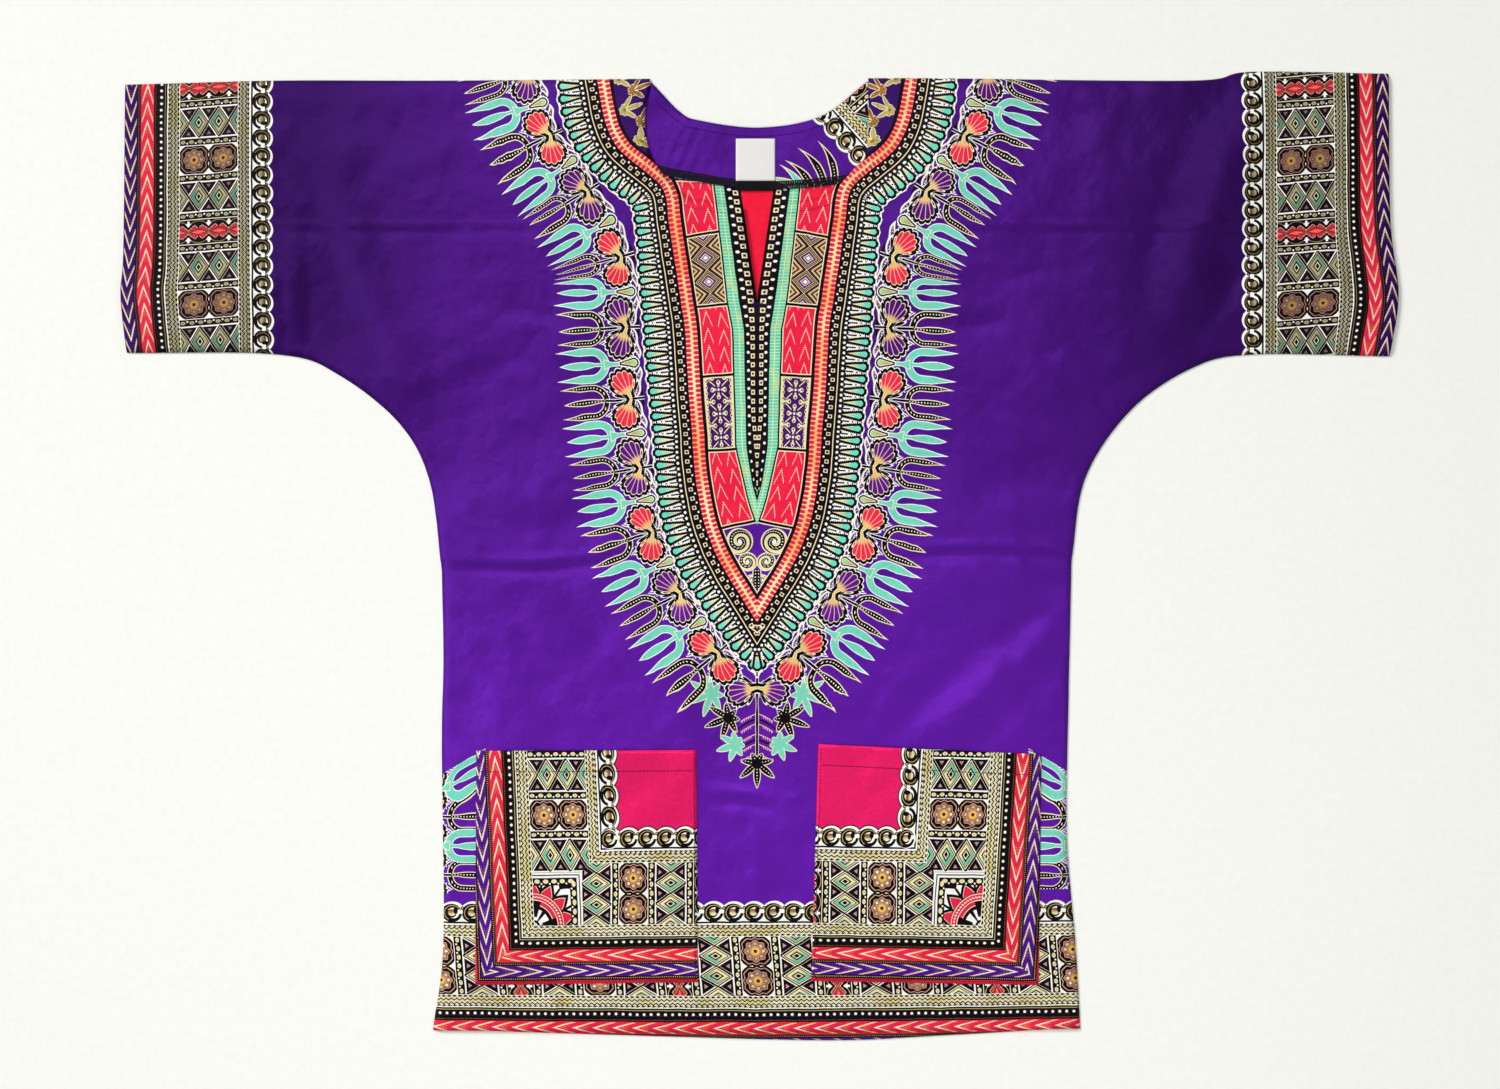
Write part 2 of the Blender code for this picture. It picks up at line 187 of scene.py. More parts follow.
# Finer creases that only the cloth has
CREASES = (
    Fold((-540.0, 284.0), (-330.0, 283.0), (-120.0, 285.5), 2.8, 1.3),
    Fold((-120.0, 285.5), (0.0, 284.5), (130.0, 285.0), 3.0, 0.6),
    Fold((130.0, 285.0), (330.0, 283.0), (540.0, 286.0), 2.8, 1.3),
    Fold((-540.0, 279.6), (-330.0, 278.6), (-120.0, 281.1), 3.0, -1.0),
    Fold((130.0, 280.6), (330.0, 278.6), (540.0, 281.6), 3.0, -1.0),
    Fold((-270.0, -9.0), (-188.0, -12.5), (-118.0, -1.5), 4.4, -2.4),
    Fold((118.0, -1.5), (200.0, 1.5), (268.0, -4.0), 4.4, -2.4),
    Fold((-268.0, -1.5), (-190.0, -4.5), (-125.0, 4.0), 4.0, 2.0),
    Fold((122.0, 6.5), (200.0, 8.5), (266.0, 4.5), 4.0, 2.0),
    Fold((-46.0, -202.0), (-12.0, -204.0), (14.0, -211.0), 5.0, 2.2),
    Fold((-48.0, -211.0), (-14.0, -213.0), (16.0, -220.0), 5.0, -2.3),
    Fold((16.0, -213.0), (30.0, -209.0), (44.0, -205.0), 3.6, 1.0),
    Fold((-178.0, -376.0), (-177.0, -390.0), (-176.0, -408.0), 4.6, 1.2),
    Fold((-170.0, -376.0), (-169.0, -390.0), (-168.0, -408.0), 4.6, -1.2),
    Fold((-80.0, -376.0), (-79.0, -390.0), (-78.0, -410.0), 4.6, 1.2),
    Fold((-72.0, -376.0), (-71.0, -390.0), (-70.0, -410.0), 4.6, -1.2),
    Fold((152.0, -376.0), (155.0, -390.0), (156.0, -410.0), 4.6, 1.2),
    Fold((160.0, -376.0), (163.0, -390.0), (164.0, -410.0), 4.6, -1.2),
    Fold((155.0, 201.0), (189.0, 198.0), (215.0, 204.0), 7.0, -1.5),
    Fold((194.0, 228.0), (225.0, 240.0), (259.0, 250.0), 6.0, -1.1),
    Fold((224.0, 190.0), (247.0, 174.0), (263.0, 190.0), 6.0, -1.1),
    Fold((-236.0, 204.0), (-197.0, 209.0), (-159.0, 198.0), 7.0, -1.3),
    Fold((222.0, -72.0), (211.0, -116.0), (215.0, -154.0), 9.0, -1.6),
    Fold((-408.0, 262.0), (-409.0, 222.0), (-406.0, 182.0), 5.0, -1.3),
    Fold((-388.0, 262.0), (-387.0, 222.0), (-385.0, 182.0), 5.0, -1.1),
    Fold((422.0, 258.0), (398.0, 218.0), (370.0, 178.0), 6.0, -1.0),
    Fold((-4.0, -228.0), (-2.0, -262.0), (-5.0, -300.0), 6.0, 1.2),
    Fold((-3.0, -330.0), (-1.0, -366.0), (-3.0, -404.0), 7.0, 1.0),
    Fold((-470.0, 402.0), (-400.0, 392.0), (-235.0, 399.0), 12.0, 1.0),
    Fold((216.0, 402.0), (300.0, 396.0), (385.0, 403.0), 12.0, 1.0),
)


def smooth_step(values: np.ndarray) -> np.ndarray:
    """Eases values from 0 to 1 with no corner at either end: v*v*(3 - 2v) of the clipped value."""
    held = np.clip(values, 0.0, 1.0)
    return held * held * (3.0 - 2.0 * held)


def through(points: tuple, step: float = CURVE_STEP) -> np.ndarray:
    """Points about one step apart on a smooth curve through a few given points.

    Each span is a Catmull-Rom cubic of its two ends and their neighbours. The last point is left
    out, so that runs join end to end.

    Args:
        points: the points that the curve goes through.
        step: the spacing to aim for, in millimetres.

    Returns:
        The points, one row each.
    """
    knots = np.array(points, float)
    knots = np.vstack((2.0 * knots[0] - knots[1], knots, 2.0 * knots[-1] - knots[-2]))
    run = []
    for a, b, c, d in zip(knots, knots[1:], knots[2:], knots[3:]):
        count = max(1, round(float(np.linalg.norm(c - b)) / step))
        t = (np.arange(count) / count)[:, None]
        cubic = 2.0 * b + (c - a) * t + (2.0 * a - 5.0 * b + 4.0 * c - d) * t**2
        run.append(0.5 * (cubic + (3.0 * b - a - 3.0 * c + d) * t**3))
    return np.vstack(run)


def straight(points: tuple, step: float = CURVE_STEP) -> np.ndarray:
    """Points about one step apart along straight runs, without the last point.

    Args:
        points: the corners of the runs.
        step: the spacing to aim for, in millimetres.

    Returns:
        The points, one row each.
    """
    run = []
    for start, end in zip(np.array(points, float), np.array(points[1:], float)):
        count = max(1, round(float(np.linalg.norm(end - start)) / step))
        share = (np.arange(count) / count)[:, None]
        run.append(start + (end - start) * share)
    return np.vstack(run)


def with_end(run: np.ndarray, end: tuple) -> np.ndarray:
    """A run of points with its last point put back."""
    return np.vstack((run, np.array(end, float)))


def whole_run(points: tuple, step: float = CURVE_STEP) -> np.ndarray:
    """A smooth run through a few points, its last one included.

    Args:
        points: the points that the run goes through.
        step: the spacing to aim for, in millimetres.

    Returns:
        The points, one row each.
    """
    return with_end(through(points, step), points[-1])


def leftwards(along: np.ndarray) -> np.ndarray:
    """Directions in the plan, turned a quarter to the left."""
    return np.column_stack((-along[:, 1], along[:, 0]))


def body_sides() -> tuple[np.ndarray, np.ndarray]:
    """The two sides that front and back share: from the left neck point down, and back up."""
    down = np.vstack([through(e) for e in (SHOULDER_LEFT, CUFF_LEFT, UNDERARM_LEFT, SIDE_LEFT)])
    up = np.vstack([through(e) for e in (SIDE_RIGHT, UNDERARM_RIGHT, CUFF_RIGHT, SHOULDER_RIGHT)])
    return down, up


def front_neck() -> np.ndarray:
    """The front's neck edge with its slit, from right to left."""
    return np.vstack((through(NECK_FRONT_RIGHT), straight(NECK_SLIT), through(NECK_FRONT_LEFT)))


def front_outline() -> np.ndarray:
    """The whole edge of the front panel."""
    down, up = body_sides()
    return np.vstack((down, through(HEM_FRONT), up, front_neck()))


def inset(loop: np.ndarray, distance: float) -> np.ndarray:
    """A closed outline moved inwards by a distance, to the left of its direction.

    Args:
        loop: the outline, counter-clockwise.
        distance: how far in, in millimetres.

    Returns:
        The moved points, one row each.
    """
    along = np.roll(loop, -1, axis=0) - np.roll(loop, 1, axis=0)
    along /= np.linalg.norm(along, axis=1)[:, None]
    return loop + leftwards(along) * distance


@dataclass(frozen=True)
class Nearness:
    """How a set of places lies to a run of points."""

    gap: np.ndarray
    along: np.ndarray
    side: np.ndarray
    foot: np.ndarray
    length: float


def nearness(places: np.ndarray, run: np.ndarray, closed: bool = False) -> Nearness:
    """Distances from places to a run of points.

    Each place is projected on every segment, held to the segment's ends, and the nearest is kept.

    Args:
        places: points in the plan.
        run: the run's points in order.
        closed: whether the run closes on itself.

    Returns:
        The gap, the length along the run to the nearest point, the side (1 on the run's left and
        -1 on its right), the nearest point, and the run's whole length.
    """
    starts = run if closed else run[:-1]
    ends = np.roll(run, -1, axis=0) if closed else run[1:]
    along = ends - starts
    lengths = np.maximum(np.linalg.norm(along, axis=1), 1e-9)
    before = np.concatenate(([0.0], np.cumsum(lengths)[:-1]))
    found = []
    for first in range(0, len(places), CHUNK):
        part = places[first : first + CHUNK]
        offset_x = part[:, 0:1] - starts[:, 0]
        offset_y = part[:, 1:2] - starts[:, 1]
        share = np.clip((offset_x * along[:, 0] + offset_y * along[:, 1]) / lengths**2, 0.0, 1.0)
        gap_x = offset_x - share * along[:, 0]
        gap_y = offset_y - share * along[:, 1]
        squared = gap_x**2 + gap_y**2
        rows = np.arange(len(part))
        near = squared.argmin(1)
        side = along[near, 0] * offset_y[rows, near] - along[near, 1] * offset_x[rows, near]
        held = share[rows, near]
        foot = starts[near] + along[near] * held[:, None]
        length = before[near] + held * lengths[near]
        found.append(np.column_stack((np.sqrt(squared[rows, near]), length, np.sign(side), foot)))
    table = np.vstack(found)
    return Nearness(table[:, 0], table[:, 1], table[:, 2], table[:, 3:5], float(lengths.sum()))


def contains(loop: np.ndarray, places: np.ndarray) -> np.ndarray:
    """Which places lie inside a closed outline, by counting the edges to their right.

    Args:
        loop: the closed outline.
        places: points in the plan, one row each.

    Returns:
        True for each place inside.
    """
    x0, y0 = loop[:, 0], loop[:, 1]
    x1, y1 = np.roll(x0, -1), np.roll(y0, -1)
    rise = np.where(np.abs(y1 - y0) < 1e-9, 1e-9, y1 - y0)
    found = []
    for first in range(0, len(places), CHUNK):
        x = places[first : first + CHUNK, 0:1]
        y = places[first : first + CHUNK, 1:2]
        spans = (y0 > y) != (y1 > y)
        crossing = x0 + (y - y0) * (x1 - x0) / rise
        found.append((spans & (crossing > x)).sum(1) % 2 == 1)
    return np.concatenate(found)


def fold_height(places: np.ndarray, fold: Fold) -> np.ndarray:
    """The height that one fold adds at each place.

    Along a parabola through its three points the height swells and dies as a softened half sine,
    and across it falls off as a bell of the fold's half width.

    Args:
        places: points in the plan, one row each.
        fold: the fold.

    Returns:
        One height per place, in millimetres.
    """
    start, middle, end = (np.array(point) for point in (fold.start, fold.middle, fold.end))
    control = 2.0 * middle - 0.5 * (start + end)
    t = np.linspace(0.0, 1.0, 16)[:, None]
    run = (1 - t) ** 2 * start + 2 * t * (1 - t) * control + t**2 * end
    near = nearness(places, run)
    share = np.clip(near.along / near.length, 0.0, 1.0)
    taper = np.sin(math.pi * share) ** FOLD_END_SOFTNESS
    return fold.height * taper * np.exp(-((near.gap / fold.half_width) ** 2))


def gap_to(places: np.ndarray, edges: tuple) -> np.ndarray:
    """Distance from each place to the nearest of several edges.

    Args:
        places: points in the plan.
        edges: the points that each edge goes through.

    Returns:
        One distance per place.
    """
    return np.min([nearness(places, whole_run(edge)).gap for edge in edges], axis=0)


def quarter_round(gap: np.ndarray, radius: float) -> np.ndarray:
    """How far an edge has rounded off: 1 at the edge, and 0 a radius in, on a quarter circle.

    Args:
        gap: distance in from the edge.
        radius: the circle's radius.

    Returns:
        One share per place.
    """
    fall = 1.0 - np.clip(gap / radius, 0.0, 1.0)
    return 1.0 - np.sqrt(1.0 - fall**2)


SEWN_EDGES = (SHOULDER_LEFT, UNDERARM_LEFT, SIDE_LEFT, SHOULDER_RIGHT, UNDERARM_RIGHT, SIDE_RIGHT)
TURNED_EDGES = (CUFF_LEFT, CUFF_RIGHT, HEM_FRONT)


@dataclass
class Lie:
    """How the front lies: slack over the back, lifted over the facing, with folds and creases."""

    outline: np.ndarray = field(default_factory=front_outline)
    neck: np.ndarray = field(default_factory=lambda: with_end(front_neck(), NECK_FRONT_LEFT[-1]))
    roll: float = 4.2
    edge_height: float = 0.12
    hem_width: float = 15.0
    hem_lift: float = 0.3
    least: float = 1.0

    def solid(self, places: np.ndarray, edge: np.ndarray) -> np.ndarray:
        """Height of the front solid's underside: slack grows inwards, and the folds add to it.

        Args:
            places: points in the plan, one row each.
            edge: distance in from the panel's edge.

        Returns:
            One height per place, in millimetres.
        """
        lift = PUFF * smooth_step(edge / PUFF_REACH)
        for fold in FOLDS:
            lift = lift + fold_height(places, fold) * smooth_step(edge / fold.half_width)
        return FRONT_BASE + self.on_facing(places) + np.maximum(lift, 0.0)

    def on_facing(self, places: np.ndarray) -> np.ndarray:
        """The lift near the neck edge, where the front lies on the facing."""
        neck = nearness(places, self.neck).gap
        return NECK_LIFT * (1.0 - smooth_step(neck / NECK_LIFT_REACH))

    def sewn(self, places: np.ndarray) -> np.ndarray:
        """Distance to the seams that join front and back: shoulders, underarms and sides."""
        return gap_to(places, SEWN_EDGES)

    def open_edges(self, places: np.ndarray) -> np.ndarray:
        """Distance to the turned edges: both cuffs and the hem."""
        return gap_to(places, TURNED_EDGES)

    def underside(self, places: np.ndarray) -> np.ndarray:
        """Height of the cloth's underside.

        It is the solid's height with the finer creases, a turned edge a little thicker at the
        cuffs and hem, and a quarter-round fall to the floor at the seams.

        Args:
            places: points in the plan, one row each.

        Returns:
            One height per place, in millimetres.
        """
        edge = nearness(places, self.outline, closed=True).gap
        height = self.solid(places, edge) + CLOTH_SINK
        for crease in CREASES:
            height = height + fold_height(places, crease) * smooth_step(edge / (1.5 * crease.half_width))
        turned = 1.0 - smooth_step((self.open_edges(places) - self.hem_width) / 2.5)
        height = np.maximum(height + self.hem_lift * turned, self.least)
        return height - (height - self.edge_height) * quarter_round(self.sewn(places), self.roll)

    def top(self, places: np.ndarray) -> np.ndarray:
        """Height of the cloth's upper face."""
        return self.underside(places) + CLOTH


@dataclass
class Grid:
    """A square net of points over a cut piece of cloth, drawn in to its outline."""

    places: np.ndarray
    quads: np.ndarray

    @property
    def centres(self) -> np.ndarray:
        """The middle of each face in the plan."""
        return self.places[self.quads].mean(1)


def net_quads(columns: int, rows: int) -> np.ndarray:
    """The four-sided faces of a net whose points are numbered row by row.

    Args:
        columns: the points along each row.
        rows: the number of rows.

    Returns:
        One row of point numbers per face, turned up.
    """
    i, j = np.meshgrid(np.arange(columns - 1), np.arange(rows - 1))
    a = (j * columns + i).ravel()
    return np.column_stack((a, a + 1, a + 1 + columns, a + columns))


def net_over(outline: np.ndarray, step: float, corners: tuple = (), column: float = 0.0) -> Grid:
    """A square net over the inside of an outline.

    Cells whose middle is inside are kept. A point on the net's rim moves to the nearest point of
    the outline, and the rim point next to each corner moves onto it.

    Args:
        outline: the closed edge, counter-clockwise.
        step: the net's spacing.
        corners: sharp corners that the rim has to reach.
        column: a height line that one column of points lies on.

    Returns:
        The net, its faces turned up.
    """
    low, high = outline.min(0), outline.max(0)
    first = column + step * math.floor((low[0] - column) / step)
    xs = np.arange(first, high[0] + step, step)
    ys = np.arange(low[1] + 0.25 * step - step, high[1] + step, step)
    columns, rows = len(xs), len(ys)
    net = np.array(np.meshgrid(xs, ys)).reshape(2, -1).T
    quads = net_quads(columns, rows)
    quads = quads[contains(outline, net[quads].mean(1))]
    used, counts = np.unique(quads, return_counts=True)
    renumber = np.zeros(len(net), int)
    renumber[used] = np.arange(len(used))
    places = net[used]
    rim = np.flatnonzero(counts < 4)
    places[rim] = nearness(places[rim], outline, closed=True).foot
    for corner in corners:
        gap = np.linalg.norm(places[rim] - np.array(corner), axis=1)
        places[rim[gap.argmin()]] = corner
    return Grid(places, renumber[quads])


def new_mesh(name: str, points: np.ndarray, faces: np.ndarray, smooth: bool = True) -> bpy.types.Object:
    """An object from whole arrays of points (in millimetres) and equal-sided faces.

    Args:
        name: the piece's name.
        points: one row per point.
        faces: one row of point numbers per face.
        smooth: whether its shading is smooth.

    Returns:
        The object, at the origin and in the scene.
    """
    mesh = bpy.data.meshes.new(name)
    sides = faces.shape[1]
    mesh.vertices.add(len(points))
    mesh.vertices.foreach_set("co", (points * MM).astype(np.float32).ravel())
    mesh.loops.add(faces.size)
    mesh.loops.foreach_set("vertex_index", faces.astype(np.int32).ravel())
    mesh.polygons.add(len(faces))
    mesh.polygons.foreach_set("loop_start", np.arange(0, faces.size, sides, dtype=np.int32))
    mesh.update(calc_edges=True)
    mesh.validate()
    mesh.polygons.foreach_set("use_smooth", np.full(len(mesh.polygons), smooth))
    mesh.update()
    piece = bpy.data.objects.new(name, mesh)
    bpy.context.scene.collection.objects.link(piece)
    return piece


def note(piece: bpy.types.Object, name: str, values: np.ndarray) -> None:
    """Keeps three numbers per point of a piece, for its finish to read.

    Args:
        piece: the piece.
        name: what its finish reads them by.
        values: three numbers per point.
    """
    kept = piece.data.attributes.new(name, "FLOAT_VECTOR", "POINT")
    kept.data.foreach_set("vector", values.astype(np.float32).ravel())


def cloth_piece(name: str, grid: Grid, heights: np.ndarray, thickness: float = CLOTH) -> bpy.types.Object:
    """A piece of cloth: a net at the given heights of its underside, thickened upwards.

    Args:
        name: the piece's name.
        grid: its net in the plan.
        heights: one height per point.
        thickness: the cloth's, in millimetres.

    Returns:
        The piece, with its wall as a live modifier.
    """
    piece = new_mesh(name, np.column_stack((grid.places, heights)), grid.quads)
    wall = piece.modifiers.new("wall", "SOLIDIFY")
    wall.thickness = thickness * MM
    wall.offset = 1.0
    return piece


def dress(piece: bpy.types.Object, materials: list, regions: np.ndarray | None = None) -> None:
    """Gives a piece its finishes, and each face the number of its own.

    Args:
        piece: the piece.
        materials: its finishes in order.
        regions: the number of the finish of each face, or None for the first.
    """
    for material in materials:
        piece.data.materials.append(material)
    if regions is not None:
        piece.data.polygons.foreach_set("material_index", regions.astype(np.int32))
        piece.data.update()


@dataclass(frozen=True)
class Guide:
    """A guide line of the print, mirrored about the axis, with lengths counted up from its tip.

    With a first length and a pitch, its lengths are evened out: the second point from the tip is
    at the first length, and each further one a pitch on.
    """

    points: tuple
    first: float = 0.0
    pitch: float = 0.0
    lead: float = GUIDE_LEAD

    def run(self) -> np.ndarray:
        """The guide as a polyline, led on straight past both of its ends."""
        line = whole_run(self.points, 2.5)
        start = line[0] + (line[0] - line[3]) / np.linalg.norm(line[0] - line[3]) * self.lead
        end = line[-1] + (line[-1] - line[-3]) / np.linalg.norm(line[-1] - line[-3]) * self.lead
        return np.vstack((start, line, end))

    def evened(self, along: np.ndarray, run: np.ndarray) -> np.ndarray:
        """Lengths stretched so that the guide's points are a pitch apart.

        Args:
            along: lengths from the tip.
            run: the guide as a polyline.

        Returns:
            The stretched lengths.
        """
        knots = nearness(np.array(self.points), run)
        found = (knots.length - self.lead - knots.along)[::-1]
        wanted = np.append(0.0, self.first + self.pitch * np.arange(len(found) - 1))
        return np.interp(along, found, wanted) + along - np.clip(along, found[0], found[-1])

    def ruler(self, places: np.ndarray) -> np.ndarray:
        """Length along the guide from its tip, and distance outwards from it, for each place.

        Args:
            places: points in the plan, one row each.

        Returns:
            An array (n, 3): the length, the distance and 0.
        """
        mirrored = np.column_stack((np.abs(places[:, 0] - AXIS), places[:, 1]))
        run = self.run()
        near = nearness(mirrored, run)
        along = near.length - self.lead - near.along
        if self.pitch > 0.0:
            along = self.evened(along, run)
        return np.column_stack((along, near.gap * near.side, np.zeros(len(places))))


@dataclass(frozen=True)
class BorderRun:
    """An edge that carries the printed border.

    Lengths run with the outline's direction and start so that a butterfly's middle is at 0.
    """

    edge: tuple
    butterfly: float
    offset: float = 0.0
    stretch: float = 1.0
    settle: float = 90.0

    def ruler(self, places: np.ndarray) -> np.ndarray:
        """Length along the border, distance in from its outer edge, and length from a butterfly.

        The print is straight: it is measured from the edge's chord. How far the edge bows out of
        the chord is taken up near it, and dies out inwards.

        Args:
            places: points in the plan, one row each.

        Returns:
            An array (n, 3) of those three measures.
        """
        curve = whole_run(self.edge)
        start, chord = curve[0], curve[-1] - curve[0]
        along = chord / np.linalg.norm(chord)
        inwards = np.array((-along[1], along[0]))
        length = (places - start) @ along
        depth = (places - start) @ inwards
        bow = np.interp(length, (curve - start) @ along, (curve - start) @ inwards)
        depth = depth - bow * (1.0 - smooth_step(depth / self.settle))
        length = length / self.stretch
        return np.column_stack((length, depth + self.offset, length - self.butterfly))


BORDER_RUNS = (
    BorderRun(CUFF_LEFT, 2.4),
    BorderRun(CUFF_RIGHT, 106.6),
    BorderRun(HEM_FRONT, 191.1, offset=16.3, stretch=1.10),
)
BORDER_DEPTH = 128.6


def border_ruler(places: np.ndarray, runs: tuple = BORDER_RUNS) -> np.ndarray:
    """The ruler of whichever border edge is nearest to each place.

    Args:
        places: points in the plan, one row each.
        runs: the left cuff, the right cuff and the hem.

    Returns:
        An array (n, 3), as BorderRun.ruler gives it.
    """
    rulers = np.array([run.ruler(places) for run in runs])
    sleeve = np.abs(places[:, 0]) > 380.0
    nearest = np.where(sleeve, np.where(places[:, 0] < 0.0, 0, 1), 2)
    return rulers[nearest, np.arange(len(places))]


# Half widths of the print's middle, by height: the red wedge of the slit, and the inner and outer
# edges of the mint band beside it
WEDGE_EDGE = ((219.7, 0.0), (314.3, 14.0), (420.0, 29.0))
MINT_INNER = (
    (26.2, -6.0), (49.9, 0.0), (62.0, 3.4), (94.2, 8.3), (193.9, 10.4), (218.0, 14.4),
    (314.3, 27.2), (420.0, 41.0),
)
MINT_OUTER = (
    (-60.0, -30.0), (26.2, 0.0), (49.9, 7.6), (94.2, 17.5), (193.9, 20.4), (218.0, 24.9),
    (314.3, 35.7), (420.0, 48.0),
)


def half_width(table: tuple, heights: np.ndarray) -> np.ndarray:
    """A half width read from a table of heights and half widths, straight between its rows.

    Args:
        table: rows of height and half width.
        heights: where to read it.

    Returns:
        One half width per height.
    """
    rows = np.array(table)
    return np.interp(heights, rows[:, 0], rows[:, 1])


def middle_ruler(places: np.ndarray) -> np.ndarray:
    """Distances outwards from the mint band's two edges, and the share across the placket.

    Args:
        places: points in the plan, one row each.

    Returns:
        An array (n, 3): past the inner edge, past the outer edge, and the share.
    """
    x, y = np.abs(places[:, 0] - AXIS), places[:, 1]
    wedge, inner, outer = (half_width(table, y) for table in (WEDGE_EDGE, MINT_INNER, MINT_OUTER))
    share = (x - wedge) / np.maximum(inner - wedge, 0.5)
    return np.column_stack((x - inner, x - outer, np.clip(share, -3.0, 4.0)))


def note_print(piece: bpy.types.Object, places: np.ndarray) -> None:
    """Keeps the rulers of the border, the middle, the red band, the drops and the flowers.

    Args:
        piece: the panel.
        places: its points in the plan.
    """
    note(piece, "border", border_ruler(places))
    note(piece, "middle", middle_ruler(places))
    note(piece, "band", Guide(BAND_GUIDE).ruler(places))
    note(piece, "drops", Guide(DROP_GUIDE).ruler(places))
    note(piece, "flowers", Guide(FLOWER_GUIDE, FLOWER_FIRST, FLOWER_PITCH).ruler(places))


class Region(Enum):
    """The parts of the printed cloth that have a finish of their own."""

    GROUND = 0
    BORDER = 1
    NECK = 2
    SIDE = 3


def regions_of(places: np.ndarray) -> np.ndarray:
    """The region of each place on a panel.

    Args:
        places: points in the plan, one row each.

    Returns:
        The number of a Region per place.
    """
    border = border_ruler(places)[:, 1]
    flowers = Guide(FLOWER_GUIDE).ruler(places)[:, 1]
    x, y = np.abs(places[:, 0] - AXIS), places[:, 1]
    tail = (x < 80.0) & (y > -215.0) & (y < -60.0)
    side = (x > 232.0) & (y > -330.0) & (y < -150.0)
    found = np.full(len(places), Region.GROUND.value)
    found[side] = Region.SIDE.value
    found[(flowers < 64.0) | tail] = Region.NECK.value
    found[border < BORDER_DEPTH + 7.0] = Region.BORDER.value
    return found


@dataclass
class Panels:
    """The front and back of the shirt."""

    lie: Lie
    finishes: dict

    def build(self) -> list:
        """Builds both panels as sheets on their solids."""
        return [self.front(), self.back()]

    def front(self) -> bpy.types.Object:
        """The front: a net over its outline at the lie's height."""
        corners = (SHOULDER_LEFT[0], CUFF_LEFT[0], CUFF_LEFT[-1], HEM_FRONT[0], HEM_FRONT[-1])
        corners += (CUFF_RIGHT[0], CUFF_RIGHT[-1], NECK_FRONT_RIGHT[0], NECK_SLIT[0], NECK_SLIT[3])
        grid = net_over(self.lie.outline, FRONT_STEP, corners, AXIS)
        piece = cloth_piece("front_cloth", grid, self.lie.underside(grid.places))
        note_print(piece, grid.places)
        dress(piece, self.finishes["panel"], regions_of(grid.centres))
        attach(piece, ROOT)
        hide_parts("front_panel")
        return piece

    def back_outline(self) -> np.ndarray:
        """The back's edge, just inside the front's but for its hem."""
        down, up = body_sides()
        loop = np.vstack((down, through(HEM_BACK), up, through(NECK_BACK)))
        shrunk = inset(loop, 2.3)
        hem = slice(len(down) + 4, len(down) + len(through(HEM_BACK)) - 4)
        shrunk[hem] = inset(loop, 0.4)[hem]
        return shrunk

    def back(self) -> bpy.types.Object:
        """The back: a net that lies on the floor, barely waved."""
        outline = self.back_outline()
        grid = net_over(outline, BACK_STEP, (), AXIS)
        x, y = grid.places[:, 0], grid.places[:, 1]
        edge = nearness(grid.places, outline, closed=True).gap
        wave = 0.05 * np.sin(x / 31.0 + y / 53.0) + 0.04 * np.sin(y / 37.0 - x / 90.0)
        height = 0.1 + (0.09 + wave) * smooth_step(edge / 12.0)
        piece = cloth_piece("back_cloth", grid, height)
        note_print(piece, grid.places)
        dress(piece, self.finishes["panel"], regions_of(grid.centres))
        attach(piece, ROOT)
        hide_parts("back_panel")
        return piece


